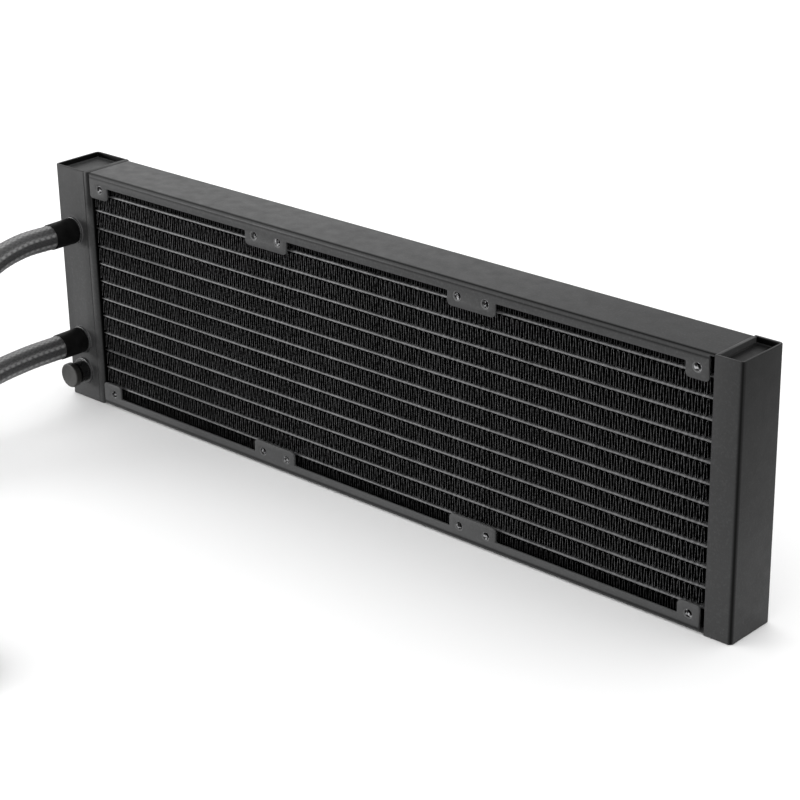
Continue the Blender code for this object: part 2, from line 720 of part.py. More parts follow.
def elbow_mesh(name):
    """A hollow right-angle fitting: a barb along -X, a flange, then a bend up to a spigot.

    Its own origin is where the barb's and the spigot's axes cross.
    """
    bend = ELBOW_BEND
    stations = []  # centre, bend angle, outer radius
    flange_x = -(bend + BARB_FLANGE_THICKNESS)
    tip_x = flange_x - BARB_LENGTH
    straight = [
        (tip_x, BARB_RADIUS),
        (tip_x + ELBOW_RIDGE_SHARE * BARB_LENGTH, BARB_RADIUS + BARB_RIDGE),
        (tip_x + ELBOW_RIDGE_SHARE * BARB_LENGTH, BARB_RADIUS),
        (flange_x, BARB_RADIUS),
        (flange_x, BARB_FLANGE_RADIUS),
        (flange_x + BARB_FLANGE_THICKNESS, BARB_FLANGE_RADIUS),
    ]
    for x, radius in straight:
        stations.append((Vector((x, 0.0, 0.0)), 0.0, radius))
    bend_steps = 5
    for i in range(bend_steps + 1):
        angle = math.pi / 2 * i / bend_steps
        offset = Vector((-bend + bend * math.sin(angle), 0.0, bend - bend * math.cos(angle)))
        stations.append((offset, angle, ELBOW_RADIUS))
    top = bend + ELBOW_NECK
    stations.append((Vector((0.0, 0.0, top)), math.pi / 2, ELBOW_RADIUS))
    stations.append((Vector((0.0, 0.0, top)), math.pi / 2, ELBOW_SPIGOT_RADIUS))
    spigot = top + ELBOW_SPIGOT_LENGTH
    stations.append((Vector((0.0, 0.0, spigot)), math.pi / 2, ELBOW_SPIGOT_RADIUS))
    sides = 16

    def ring(bm, centre, angle, radius):
        up = Vector((-math.sin(angle), 0.0, math.cos(angle)))
        points = []
        for i in range(sides):
            turn = 2 * math.pi * i / sides
            side = Vector((0.0, math.cos(turn) * radius, 0.0))
            points.append(bm.verts.new(centre + side + up * math.sin(turn) * radius))
        return points

    bm = bmesh.new()
    outer = [ring(bm, *station) for station in stations]
    bore = [stations[0][:2]] + [station[:2] for station in stations[len(straight):]]
    inner = [ring(bm, centre, angle, BORE_RADIUS) for centre, angle in bore]
    loops = outer + list(reversed(inner))
    for k, loop in enumerate(loops):
        after = loops[(k + 1) % len(loops)]
        for i in range(sides):
            j = (i + 1) % sides
            bm.faces.new((loop[i], loop[j], after[j], after[i]))
    bmesh.ops.remove_doubles(bm, verts=bm.verts, dist=1e-6)
    return finish_mesh(bm, name), spigot


def make_hose_end(side, route, fitting, rubber):
    """The sleeve, elbow, swivel base and seal at one hose's far end."""
    x, y, z = (value * MM for value in route[-1])
    collar = turned_mesh(side + "_elbow_collar", collar_profile(), 16)
    start = x + GAP
    to_right = (0.0, math.pi / 2, 0.0)
    shade_round(make_object(side + "_elbow_collar", collar, rubber, (start, y, z), to_right))

    mesh, spigot = elbow_mesh(side + "_elbow")
    flange_x = start + COLLAR_LENGTH + GAP
    centre_x = flange_x + BARB_FLANGE_THICKNESS + ELBOW_BEND
    shade_round(make_object(side + "_elbow", mesh, fitting, (centre_x, y, z)))

    socket = ELBOW_SPIGOT_RADIUS + GAP
    depth = ELBOW_SPIGOT_LENGTH + GAP
    thread_top = SWIVEL_THICKNESS + SWIVEL_THREAD_LENGTH
    bevel = SWIVEL_EDGE
    base_profile = [
        (socket, 0.0),
        (SWIVEL_RADIUS - bevel, 0.0),
        (SWIVEL_RADIUS, bevel),
        (SWIVEL_RADIUS, SWIVEL_THICKNESS - bevel),
        (SWIVEL_RADIUS - bevel, SWIVEL_THICKNESS),
        (SWIVEL_THREAD_RADIUS, SWIVEL_THICKNESS),
        (SWIVEL_THREAD_RADIUS, thread_top - bevel),
        (SWIVEL_THREAD_RADIUS - bevel, thread_top),
        (BORE_RADIUS, thread_top),
        (BORE_RADIUS, depth),
        (socket, depth),
    ]
    base_z = z + spigot - ELBOW_SPIGOT_LENGTH + GAP
    base = turned_mesh(side + "_swivel_base", base_profile, 18)
    shade_round(make_object(side + "_swivel_base", base, fitting, (centre_x, y, base_z)))

    seal_inner = SWIVEL_THREAD_RADIUS + GAP
    seal_profile = [
        (seal_inner, 0.0),
        (SWIVEL_SEAL_RADIUS - SWIVEL_SEAL_EDGE, 0.0),
        (SWIVEL_SEAL_RADIUS, SWIVEL_SEAL_THICKNESS / 2),
        (SWIVEL_SEAL_RADIUS - SWIVEL_SEAL_EDGE, SWIVEL_SEAL_THICKNESS),
        (seal_inner, SWIVEL_SEAL_THICKNESS),
    ]
    seal_z = base_z + SWIVEL_THICKNESS + GAP
    seal = turned_mesh(side + "_swivel_seal", seal_profile, 18)
    shade_round(make_object(side + "_swivel_seal", seal, rubber, (centre_x, y, seal_z)))


def remove_scene_objects():
    for piece in list(bpy.data.objects):
        bpy.data.objects.remove(piece, do_unlink=True)


def main():
    remove_scene_objects()
    black_coat = make_material("black_powder_coat", (0.035, 0.036, 0.038), 0.5, 0.1)
    tube_coat = make_material("tube_coat", (0.22, 0.225, 0.23), 0.45, 0.4)
    fin_coat = make_material("fin_coat", (0.02, 0.02, 0.022), 0.55, 0.3)
    bare = make_material("bare_aluminium", (0.5, 0.51, 0.52), 0.35, 1.0)
    plug_grey = make_material("grey_plug", (0.13, 0.125, 0.12), 0.55, 0.0)
    rubber = make_material("black_rubber", (0.012, 0.012, 0.013), 0.6, 0.0)
    braid = make_material("grey_braid", (0.09, 0.09, 0.095), 0.5, 0.0)
    fitting = make_material("black_fitting", (0.03, 0.03, 0.032), 0.4, 0.2)

    ports = [
        (INLET_Z, BARB_RADIUS + GAP),
        (OUTLET_Z, BARB_RADIUS + GAP),
        (FILL_Z, NECK_BORE + NECK_ROOT_WALL + GAP),
    ]
    make_tank("left_tank", LEFT_END, 1, LEFT_TANK_WIDTH, black_coat, ports)
    make_tank("right_tank", RIGHT_END, -1, RIGHT_TANK_WIDTH, black_coat, [])
    make_header_plates(black_coat)
    for side, end_x, direction, inner_u in (
        ("left", LEFT_END, 1, LEFT_TANK_WIDTH),
        ("right", RIGHT_END, -1, RIGHT_TANK_WIDTH - HEADER_THICKNESS - GAP),
    ):
        for end, low_z in (
            ("bottom", POCKET_DEPTH),
            ("top", HEIGHT - POCKET_DEPTH - CAP_THICKNESS),
        ):
            name = f"{side}_tank_cap_{end}"
            make_tank_cap(name, end_x, direction, inner_u, low_z, black_coat)
    make_baffle(bare)
    make_tubes(tube_coat)
    make_fins(fin_coat)
    make_side_plates(black_coat)
    make_ports(black_coat, rubber)
    make_fill_port(black_coat, plug_grey, rubber)
    make_hose("inlet_hose", INLET_ROUTE, braid)
    make_hose("outlet_hose", OUTLET_ROUTE, braid)
    make_hose_end("inlet", INLET_ROUTE, fitting, rubber)
    make_hose_end("outlet", OUTLET_ROUTE, fitting, rubber)


main()
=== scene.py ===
"""Looks of a slim liquid cooling radiator for three fans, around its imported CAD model.

Lengths are in metres unless a name or a multiplication by MM says otherwise. X runs along the
radiator from the tank with the ports, -Y is the front and Z is up.
"""

import math

import bmesh
import bpy
import numpy as np
from mathutils import Matrix, Vector


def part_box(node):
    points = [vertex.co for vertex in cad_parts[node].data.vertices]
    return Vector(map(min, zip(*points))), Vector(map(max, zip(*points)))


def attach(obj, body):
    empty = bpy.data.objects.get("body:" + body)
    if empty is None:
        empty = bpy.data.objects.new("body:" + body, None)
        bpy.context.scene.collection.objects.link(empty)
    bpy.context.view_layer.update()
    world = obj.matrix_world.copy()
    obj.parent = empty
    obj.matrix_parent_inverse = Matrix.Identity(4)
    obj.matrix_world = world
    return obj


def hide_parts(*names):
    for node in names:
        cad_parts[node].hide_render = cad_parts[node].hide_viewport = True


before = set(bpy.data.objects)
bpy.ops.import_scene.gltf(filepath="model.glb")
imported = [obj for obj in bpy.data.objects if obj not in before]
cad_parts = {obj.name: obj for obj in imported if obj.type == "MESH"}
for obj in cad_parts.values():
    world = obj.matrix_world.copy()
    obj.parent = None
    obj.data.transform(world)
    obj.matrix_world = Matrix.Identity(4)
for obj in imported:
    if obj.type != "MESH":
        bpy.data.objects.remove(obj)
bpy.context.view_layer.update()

MM = 0.001
BODY = "radiator"

# The camera stands at the right front and looks down at the radiator's face
CAMERA_PLACE = Vector((617.1, -655.6, 428.6)) * MM
CAMERA_TARGET = Vector((115.4, -116.4, 116.3)) * MM
CAMERA_ROLL = math.radians(1.068)
CAMERA_LENS = 99.96

# Sizes read from the CAD parts in model.glb
TANK_LOW, TANK_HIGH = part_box("left_tank")
BAND_LOW, BAND_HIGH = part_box("left_header_plate")
PLATE_LOW, PLATE_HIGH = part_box("side_plate_top")
HEIGHT = TANK_HIGH.z - TANK_LOW.z
HALF_HEIGHT = HEIGHT / 2
HALF_DEPTH = (TANK_HIGH.y - TANK_LOW.y) / 2
TUBE_COUNT = sum(name.startswith("flat_tube_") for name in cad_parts)
STRIP_COUNT = sum(name.startswith("fin_strip_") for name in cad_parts)

# Hose routes, in millimetres, as the CAD model has them
INLET_ROUTE = [
    (-193.7, -28.5, 87.6), (-193.7, -46.3, 87.6), (-193.0, -63.7, 84.0), (-191.5, -79.1, 75.2),
    (-189.4, -90.9, 62.2), (-186.8, -100.3, 47.2), (-184.1, -109.6, 32.2), (-181.8, -121.3, 19.0),
    (-180.0, -136.5, 10.0), (-179.2, -153.8, 6.4), (-178.3, -171.6, 6.2), (-172.3, -188.4, 6.1),
    (-161.2, -202.2, 6.1), (-146.2, -211.7, 6.1), (-128.9, -215.9, 6.1), (-111.1, -216.0, 6.1),
    (-93.2, -216.0, 6.1), (-75.4, -216.0, 6.3), (-57.5, -216.0, 6.7), (-39.5, -216.0, 6.8),
]
OUTLET_ROUTE = [
    (-193.7, -28.5, 31.0), (-193.7, -50.0, 31.0), (-193.7, -72.0, 28.9), (-193.7, -94.0, 22.4),
    (-193.7, -116.0, 14.0), (-193.7, -138.0, 8.0), (-193.7, -159.0, 6.2), (-191.0, -180.5, 6.1),
    (-182.0, -200.5, 6.1), (-167.0, -216.5, 6.1), (-148.0, -226.5, 6.1), (-126.0, -230.0, 6.1),
    (-100.0, -230.0, 6.1), (-74.0, -230.0, 6.3), (-53.0, -230.0, 6.7), (-30.0, -230.0, 6.8),
]
HOSE_INTO_SLEEVE = 2.0 * MM
RING_THICKNESS = 1.1 * MM
HOSE_RADIUS = 5.9 * MM

# Braid: yarns wound both ways, over and under each other
YARNS_EACH_WAY = 16
YARN_PITCH_ALONG = 3.4 * MM
YARN_HALF_THICKNESS = 0.15 * MM
YARN_RISE = 0.11 * MM
# Painted highlight streaks along the hose, around its girth
HIGHLIGHT_STREAKS = 7
HOSE_SIDES = 96
HOSE_STEP = 0.46 * MM

# Side plate details
PLATE_THICKNESS = 1.2 * MM
BEND_RADIUS = 2.0 * MM
FLANGE_DEPTH = 5.5 * MM
TAB_DEPTH = 11.9 * MM
TAB_CORNER = 2.4 * MM
TAB_LEFT_END = -179.2 * MM
TAB_RIGHT_END = 177.8 * MM
TAB_BESIDE_HOLE = 5.3 * MM
HOLE_PITCH = 105.0 * MM
FAN_PITCH = 120.0 * MM
PAST_FLANGE = 2.0 * MM  # how far a cutter reaches past the flanges
HOLE_RADIUS = 1.75 * MM
COUNTERSINK_RADIUS = 2.25 * MM
COUNTERSINK_DEPTH = 0.45 * MM
HOLE_XS = [
    fan * FAN_PITCH + side * HOLE_PITCH / 2 for fan in (-1, 0, 1) for side in (-1, 1)
]

# Tank details
TANK_WALL = 1.2 * MM
TANK_CORNER = 2.0 * MM
MOUTH_CORNER = 0.3 * MM
BAND_CORNER = 2.4 * MM
SEAM = 0.05 * MM
BRAZE = 0.7 * MM
CAD_GAP = 0.3 * MM
# Painted shade and light on the tanks: toward the top, toward the left tank's bottom and on the
# right tank's end wall
LEFT_SHADE, LEFT_LIGHT = 0.7, 0.1
RIGHT_SHADE = 0.42
END_SHADE, END_TOP_SHADE = 0.1, 0.22
# Heights below the top where the left band's painted shade begins and is full
DARK_BAND_START = 22 * MM
DARK_BAND_FULL = 16 * MM

# Fin strips
FOLD_PITCH = 1.34 * MM
FOIL = 0.1 * MM
RIM_FOIL = 0.13 * MM
RIM_DEPTH = 0.15 * MM
SLATS_EACH_FACE = 3
SLAT_TILT = math.radians(27)
LEG_LEAN = 0.28  # of the pitch
CREST_RISE = 0.9 * MM
CREST_OVERLAP = 0.05 * MM
# Painted highlight on the fins' cut edges: the outermost strips, beside the plates, get less of it
# as painted shade
OUTER_RIM_HIGHLIGHT = 0.4  # how grey the outermost strips' rims are

# Tubes
TUBE_SHARE_SEEN = 0.8
TUBE_STEPS = 268
BRAZE_RIPPLE = 0.16  # of the thickness
# Length of the tubes' ends that get the painted shadow of the left band
SHADOWED_TUBE_END = 3.0 * MM

# Noise range that several places share
NOISE_LOW, NOISE_HIGH = 0.3, 0.7

# Sockets of a colour Mix node: the share, the two colours and the result
MIX_SHARE, MIX_FIRST, MIX_SECOND, MIX_RESULT = 0, 6, 7, 2

# Orders that put a prism's outline (u, v) and level w along x, y and z
ALONG_X = (2, 0, 1)
ALONG_Y = (0, 2, 1)
ALONG_Z = (0, 1, 2)


# Mesh tools

def linked(name, data):
    """A new object in the scene."""
    item = bpy.data.objects.new(name, data)
    bpy.context.scene.collection.objects.link(item)
    return item


def mesh_from(name, points, faces):
    """A mesh with all faces pointing out, from points and lists of corner numbers."""
    mesh = bpy.data.meshes.new(name)
    mesh.from_pydata([tuple(point) for point in points], [], faces)
    bm = bmesh.new()
    bm.from_mesh(mesh)
    bmesh.ops.recalc_face_normals(bm, faces=bm.faces)
    bm.to_mesh(mesh)
    bm.free()
    return mesh


def add_piece(name, mesh, material, replaced=(), body=BODY, sharp=35.0, location=None):
    """Links a piece, shades it smooth between sharp edges and lets it ride on a body."""
    piece = linked(name, mesh)
    if location is not None:
        piece.location = location
    if not mesh.materials:
        mesh.materials.append(material)
    mesh.shade_smooth()
    mesh.set_sharp_from_angle(angle=math.radians(sharp))
    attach(piece, body)
    if replaced:
        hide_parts(*replaced)
    return piece


def arc(centre, radius, start, end, steps):
    """Points on an arc, with both ends; angles in degrees."""
    angles = np.radians(np.linspace(start, end, steps + 1))
    return [(centre[0] + radius * math.cos(a), centre[1] + radius * math.sin(a)) for a in angles]


def corner(x, y, radius, start, steps):
    """A quarter turn that rounds off an outline's corner at (x, y)."""
    middle = math.radians(start + 45)
    centre_x = x - math.copysign(radius, math.cos(middle))
    centre_y = y - math.copysign(radius, math.sin(middle))
    return arc((centre_x, centre_y), radius, start, start + 90, steps)


def ring_faces(rows, columns, closed):
    """Quads between rings of points, numbered ring by ring, with end faces unless it closes."""
    faces = []
    for i in range(rows if closed else rows - 1):
        for j in range(columns):
            here, following = i * columns, ((i + 1) % rows) * columns
            beside = (j + 1) % columns
            faces.append((here + j, here + beside, following + beside, following + j))
    if not closed:
        faces.append(tuple(range(columns)))
        faces.append(tuple(range((rows - 1) * columns, rows * columns)))
    return faces


def turned(name, profile, sides, closed=False, ripple=None):
    """A turned piece from (radius, height) points: a closed loop, or a line between flat ends.

    ripple(angle, radius, height) may return a changed radius, for knurls.
    """
    points = []
    for radius, height in profile:
        for i in range(sides):
            angle = 2 * math.pi * i / sides
            r = ripple(angle, radius, height) if ripple else radius
            points.append((r * math.cos(angle), r * math.sin(angle), height))
    return mesh_from(name, points, ring_faces(len(profile), sides, closed))


def lathe(name, profile, sides, ripple=None):
    """A turned ring from a closed loop of (radius, height) points; it may not touch the axis."""
    return turned(name, profile, sides, True, ripple)


def prism(name, outline, levels, order):
    """A closed prism from an outline at several levels."""
    points = [[(u, v, w)[k] for k in order] for w in levels for u, v in outline]
    return mesh_from(name, points, ring_faces(len(levels), len(outline), False))


def turned_to(mesh, place, direction):
    """Moves a turned mesh so that its axis points along direction from place."""
    turn = Vector((0, 0, 1)).rotation_difference(Vector(direction)).to_matrix().to_4x4()
    mesh.transform(Matrix.Translation(Vector(place)) @ turn)
    return mesh


def joined(name, meshes):
    """One mesh from several."""
    bm = bmesh.new()
    for mesh in meshes:
        bm.from_mesh(mesh)
    result = bpy.data.meshes.new(name)
    bm.to_mesh(result)
    bm.free()
    return result


def carved(mesh, bevel, cutter=None, segments=2, bevel_first=False):
    """The mesh after its edges are bevelled and the cutter is subtracted."""
    items = [linked("work", mesh)]
    kinds = ["BEVEL"]
    if cutter:
        items.append(linked("cutter", cutter))
        kinds.insert(1 if bevel_first else 0, "BOOLEAN")
    for kind in kinds:
        modifier = items[0].modifiers.new(kind, kind)
        if kind == "BEVEL":
            modifier.width = bevel
            modifier.segments = segments
            modifier.limit_method = "ANGLE"
            modifier.angle_limit = math.radians(40)
            modifier.use_clamp_overlap = True
        else:
            modifier.operation = "DIFFERENCE"
            modifier.solver = "EXACT"
            modifier.object = items[1]
    graph = bpy.context.evaluated_depsgraph_get()
    result = bpy.data.meshes.new_from_object(items[0].evaluated_get(graph))
    for item in items:
        bpy.data.objects.remove(item, do_unlink=True)
    result.materials.clear()
    return result


def store(mesh, name, values):
    """Stores a value on each point, for the material to read."""
    mesh.attributes.new(name, "FLOAT", "POINT").data.foreach_set("value", values)


def mark(mesh, name, value):
    """Stores value(x, y, z) on each point."""
    store(mesh, name, [value(*vertex.co) for vertex in mesh.vertices])


def placed(node):
    """The low corner, high corner and centre of a CAD node's box."""
    low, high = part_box(node)
    return low, high, (low + high) / 2


# Materials

class Finish:
    """A material around one Principled shader, with its pattern nodes added by name."""

    def __init__(self, name, specular, metallic=0.0):
        self.material = bpy.data.materials.new(name)
        self.material.use_nodes = True
        self.tree = self.material.node_tree
        self.shader = self.tree.nodes["Principled BSDF"]
        self.shader.inputs["Metallic"].default_value = metallic
        self.shader.inputs["Specular IOR Level"].default_value = specular
        self.place = self.add("ShaderNodeTexCoord").outputs["Object"]

    def add(self, kind, links=None, **settings):
        """Adds a node. links maps an input to a number, a colour or another node's output."""
        node = self.tree.nodes.new(kind)
        for name, value in settings.items():
            setattr(node, name, value)
        for key, value in (links or {}).items():
            if isinstance(value, bpy.types.NodeSocket):
                self.tree.links.new(value, node.inputs[key])
            else:
                node.inputs[key].default_value = value
        return node

    def noise(self, size, detail, stretch=(1.0, 1.0, 1.0)):
        """Noise with features of about this size, in metres."""
        scale = self.add("ShaderNodeMapping", {"Vector": self.place, "Scale": stretch})
        links = {"Vector": scale.outputs["Vector"], "Scale": 1 / size, "Detail": detail}
        return self.add("ShaderNodeTexNoise", links).outputs["Fac"]

    def math(self, operation, *values):
        return self.add("ShaderNodeMath", dict(enumerate(values)), operation=operation).outputs[0]

    def spread(self, value, low=NOISE_LOW, high=NOISE_HIGH, into=(0.0, 1.0)):
        """Maps low to high onto another range, and clamps it."""
        links = {"Value": value, "From Min": low, "From Max": high}
        links.update({"To Min": into[0], "To Max": into[1]})
        return self.add("ShaderNodeMapRange", links).outputs["Result"]

    def stored(self, name):
        """A value that the mesh stores on its points."""
        return self.add("ShaderNodeAttribute", attribute_name=name).outputs["Fac"]

    def blend(self, share, first, second):
        """A colour between two colours; a single number is a grey."""
        links = {MIX_SHARE: share}
        for socket, color in ((MIX_FIRST, first), (MIX_SECOND, second)):
            if isinstance(color, float):
                color = (color, color, color)
            links[socket] = (*color, 1.0) if isinstance(color, tuple) else color
        return self.add("ShaderNodeMix", links, data_type="RGBA").outputs[MIX_RESULT]

    def between(self, pattern, first, second, low=NOISE_LOW, high=NOISE_HIGH, most=1.0):
        """A colour that leaves the first for the second as a pattern goes from low to high."""
        return self.blend(self.spread(pattern, low, high, (0.0, most)), first, second)

    def feed(self, name, output):
        self.tree.links.new(output, self.shader.inputs[name])

    def color(self, output):
        self.feed("Base Color", output)

    def rough(self, pattern, low, high):
        """Roughness that goes from low to high over a noise."""
        self.feed("Roughness", self.spread(pattern, into=(low, high)))

    def bump(self, height, distance, strength):
        """Raises the surface by height times distance, in metres, on top of earlier bumps."""
        links = {"Height": height, "Distance": distance, "Strength": strength}
        earlier = self.shader.inputs["Normal"].links
        if earlier:
            links["Normal"] = earlier[0].from_socket
        self.feed("Normal", self.add("ShaderNodeBump", links).outputs["Normal"])


def scaled(color, factor):
    return tuple(factor * value for value in color)


def powder_coat(name, light, dark, roughness, specular=0.08):
    """Satin powder coat with a fine orange peel and faint clouds.

    The stored value "bend" holds painted shade and light: 1 is the darkest painted shade, -1 a
    painted highlight.
    """
    finish = Finish(name, specular)
    peel = finish.noise(0.75 * MM, 3.0)
    speck = finish.noise(0.35 * MM, 1.0)
    tone = finish.between(finish.noise(30 * MM, 3.0), dark, light)
    tone = finish.between(finish.noise(1.0 * MM, 4.0), tone, scaled(light, 1.37), 0.5, 0.8, 0.9)
    tone = finish.between(speck, tone, scaled(dark, 0.91), 0.52, 0.75, 0.6)
    shade = finish.stored("bend")
    # painted highlight where "bend" falls below 0
    tone = finish.between(shade, tone, scaled(light, 2.65), 0.0, -1.0)
    # painted shade where "bend" rises above 0
    finish.color(finish.between(shade, tone, scaled(dark, 0.02), 0.0, 1.0))
    finish.rough(finish.noise(6 * MM, 4.0), roughness - 0.05, roughness + 0.06)
    finish.bump(peel, 0.05 * MM, 0.55)
    finish.bump(speck, 0.02 * MM, 0.35)
    return finish.material


def fin_foil():
    """Matt black foil, near black on its sides as painted shade, with a painted highlight on its
    cut front and back edges.
    """
    finish = Finish("fin_foil", 0.04)
    # painted shade: the legs' sides near black
    side = finish.between(finish.noise(9 * MM, 3.0), 0.001, 0.0025)
    # painted highlight on the foil's cut edges
    edge = finish.between(finish.noise(1.1 * MM, 3.0), 0.005, (0.12, 0.12, 0.122))
    finish.color(finish.blend(finish.stored("rim"), side, edge))
    finish.rough(finish.noise(2 * MM, 3.0), 0.45, 0.65)
    finish.bump(finish.noise(0.4 * MM, 2.0), 0.02 * MM, 0.5)
    return finish.material


def tube_coat():
    """Thinly coated drawn tube, grey where the coat is thin, with a painted shadow, black, beside
    the left tank.
    """
    finish = Finish("tube_coat", 0.35)
    drawn = finish.noise(0.5 * MM, 4.0, (0.04, 1.0, 1.0))
    blotch = finish.noise(1.1 * MM, 3.0)
    tone = finish.between(blotch, (0.035, 0.035, 0.036), (0.11, 0.11, 0.112), 0.3, 0.72)
    tone = finish.between(drawn, tone, 0.03, 0.5, 0.8, 0.6)
    # painted shadow, black, on the tubes' ends beside the left band
    finish.color(finish.blend(finish.stored("shadowed_end"), tone, 0.002))
    finish.rough(blotch, 0.34, 0.5)
    finish.bump(drawn, 0.02 * MM, 0.5)
    finish.bump(blotch, 0.05 * MM, 0.6)
    return finish.material


def bare_metal():
    """Cut aluminium, dark in patches of overspray that also stand for painted shade in the screw
    holes, with fine tool marks.
    """
    finish = Finish("bare_metal", 0.5, 1.0)
    marks = finish.noise(0.2 * MM, 3.0)
    bright = finish.between(marks, (0.25, 0.25, 0.255), (0.5, 0.5, 0.51))
    # dark patches: overspray, and painted shade in the screw holes
    finish.color(finish.between(finish.noise(1.3 * MM, 3.0), 0.02, bright, 0.5, 0.62))
    finish.rough(marks, 0.18, 0.34)
    finish.bump(marks, 0.01 * MM, 0.5)
    return finish.material


def moulded(name, specular, cloud, colors, patches, roughness, grain, grain_depth):
    """A moulded surface: clouded colour, patches of roughness and a fine grain.

    cloud, patches and grain each give a noise's size and detail; cloud may add its range.
    """
    finish = Finish(name, specular)
    finish.color(finish.between(finish.noise(*cloud[:2]), *colors, *cloud[2:]))
    finish.rough(finish.noise(*patches), *roughness)
    finish.bump(finish.noise(*grain), grain_depth, 0.5)
    return finish.material


def soft_rubber():
    """Matte black sleeve rubber with a faint bloom."""
    return moulded(
        "soft_rubber", 0.06, (4 * MM, 4.0, 0.35, 0.75), (0.003, 0.007),
        (1.2 * MM, 3.0), (0.42, 0.6), (0.3 * MM, 2.0), 0.02 * MM,
    )


def plug_plastic():
    """Moulded dark grey plug with a fine spark-eroded texture."""
    grain = (0.25 * MM, 2.0)
    colors = ((0.005, 0.0048, 0.0042), (0.014, 0.0132, 0.0118))
    return moulded(
        "plug_plastic", 0.35, (2.2 * MM, 4.0), colors, grain, (0.42, 0.58), grain, 0.03 * MM
    )


def fitting_plastic():
    """Satin black moulded fitting."""
    grain = (0.4 * MM, 3.0)
    colors = ((0.012, 0.012, 0.013), (0.02, 0.02, 0.021))
    return moulded(
        "fitting_plastic", 0.5, (*grain, 0.35, 0.7), colors,
        (3 * MM, 3.0), (0.28, 0.42), grain, 0.02 * MM,
    )


def braid_yarn():
    """Charcoal nylon yarn, with painted highlights along its filaments and in streaks along the
    hose, and painted shade between the yarns.
    """
    finish = Finish("braid_yarn", 0.5)
    filaments = 5
    turn = finish.math("MULTIPLY", finish.stored("across_yarn"), filaments * 2 * math.pi)
    strand_height = finish.spread(finish.math("SINE", turn), -1.0, 1.0)
    # painted light on each filament's crown and painted shade between filaments
    tone = finish.blend(strand_height, (0.01, 0.01, 0.0105), (0.06, 0.06, 0.061))
    # painted highlight in streaks along the hose, stronger on the yarns wound one way
    tone = finish.blend(finish.stored("highlight_streak"), tone, 0.24)
    # painted shade in the hollows between the yarns
    tone = finish.between(finish.stored("yarn_height"), 0.004, tone, 0.1, 0.85)
    fuzz = finish.noise(0.6 * MM, 3.0)
    finish.color(finish.between(fuzz, tone, (0.05, 0.05, 0.051), 0.45, 0.8, 0.4))
    finish.rough(fuzz, 0.32, 0.5)
    finish.bump(strand_height, 0.05 * MM, 0.6)
    finish.shader.inputs["Sheen Weight"].default_value = 0.08
    finish.shader.inputs["Sheen Roughness"].default_value = 0.4
    return finish.material


def floor_paint():
    """Plain pale studio floor."""
    finish = Finish("studio_floor", 0.2)
    finish.color(finish.between(finish.noise(400 * MM, 2.0), 0.9, 0.92))
    finish.shader.inputs["Roughness"].default_value = 0.7
    return finish.material


# Camera, light and floor

def make_camera():
    camera = linked("camera", bpy.data.cameras.new("camera"))
    camera.data.lens = CAMERA_LENS
    camera.data.sensor_width = 36
    camera.data.clip_start = 0.01
    camera.location = CAMERA_PLACE
    look = (CAMERA_TARGET - CAMERA_PLACE).to_track_quat("-Z", "Y")
    camera.rotation_euler = (look.to_matrix() @ Matrix.Rotation(-CAMERA_ROLL, 3, "Z")).to_euler()
    bpy.context.scene.camera = camera


def add_softbox(name, place, target, size, power):
    """A rectangular area light that faces its target."""
    light = bpy.data.lights.new(name, "AREA")
    light.shape = "RECTANGLE"
    light.size, light.size_y = size
    light.energy = power
    lamp = linked(name, light)
    lamp.location = place
    lamp.rotation_euler = (Vector(target) - Vector(place)).to_track_quat("-Z", "Y").to_euler()


def make_studio():
    """A pale floor, a bright surround and two softboxes."""
    half = 4.0
    points = [(-half, -half, 0), (half, -half, 0), (half, half, 0), (-half, half, 0)]
    floor = linked("studio_floor", mesh_from("studio_floor", points, [(0, 1, 2, 3)]))
    floor.location.z = -0.2 * MM
    floor.data.materials.append(floor_paint())
    world = bpy.data.worlds.new("studio")
    world.use_nodes = True
    background = world.node_tree.nodes["Background"]
    background.inputs["Color"].default_value = (1.0, 1.0, 1.0, 1.0)
    background.inputs["Strength"].default_value = 1.25
    bpy.context.scene.world = world
    add_softbox("key", (-1.2, 1.0, 1.3), (0, 0, 0.06), (1.2, 1.2), 5.0)
    add_softbox("low_front", (-0.9, -0.85, 0.14), (-0.1, 0, 0.05), (0.6, 0.24), 11.0)
    bpy.context.scene.view_settings.view_transform = "Standard"


# Hoses

def smooth_curve(points):
    """Catmull-Rom samples through the points."""
    per_span = 40
    ends = np.vstack([2 * points[0] - points[1], points, 2 * points[-1] - points[-2]])
    samples = []
    for before, start, end, after in zip(ends, ends[1:], ends[2:], ends[3:]):
        for t in np.arange(per_span) / per_span:
            square = t * t
            bend = 2 * before - 5 * start + 4 * end - after
            twist = 3 * start - before - 3 * end + after
            slope = end - before
            samples.append(0.5 * (2 * start + slope * t + bend * square + twist * square * t))
    samples.append(points[-1])
    return np.array(samples)


def evenly_spaced(samples, spacing):
    """Points at equal distances along a sampled line."""
    lengths = np.linalg.norm(np.diff(samples, axis=0), axis=1)
    walked = np.concatenate([[0.0], np.cumsum(lengths)])
    count = round(walked[-1] / spacing)
    wanted = np.linspace(0.0, walked[-1], count + 1)
    return np.stack([np.interp(wanted, walked, samples[:, k]) for k in range(3)], axis=1)


def hose_line(route):
    """The hose's centreline, from inside one sleeve to inside the other."""
    points = np.array(route) * MM
    samples = smooth_curve(points)
    starts = samples[0] + HOSE_INTO_SLEEVE * np.array([0.0, 1.0, 0.0])
    ends = samples[-1] + HOSE_INTO_SLEEVE * np.array([1.0, 0.0, 0.0])
    return evenly_spaced(np.vstack([starts, samples, ends]), HOSE_STEP)


def frames_along(line):
    """Two directions across the line at each point, which turn as little as they can."""
    tangents = np.gradient(line, axis=0)
    tangents /= np.linalg.norm(tangents, axis=1)[:, None]
    side = np.cross(tangents[0], (0.0, 0.0, 1.0))
    sides = []
    for tangent in tangents:
        side = side - tangent * (side @ tangent)
        side = side / np.linalg.norm(side)
        sides.append(side)
    sides = np.array(sides)
    return sides, np.cross(tangents, sides)


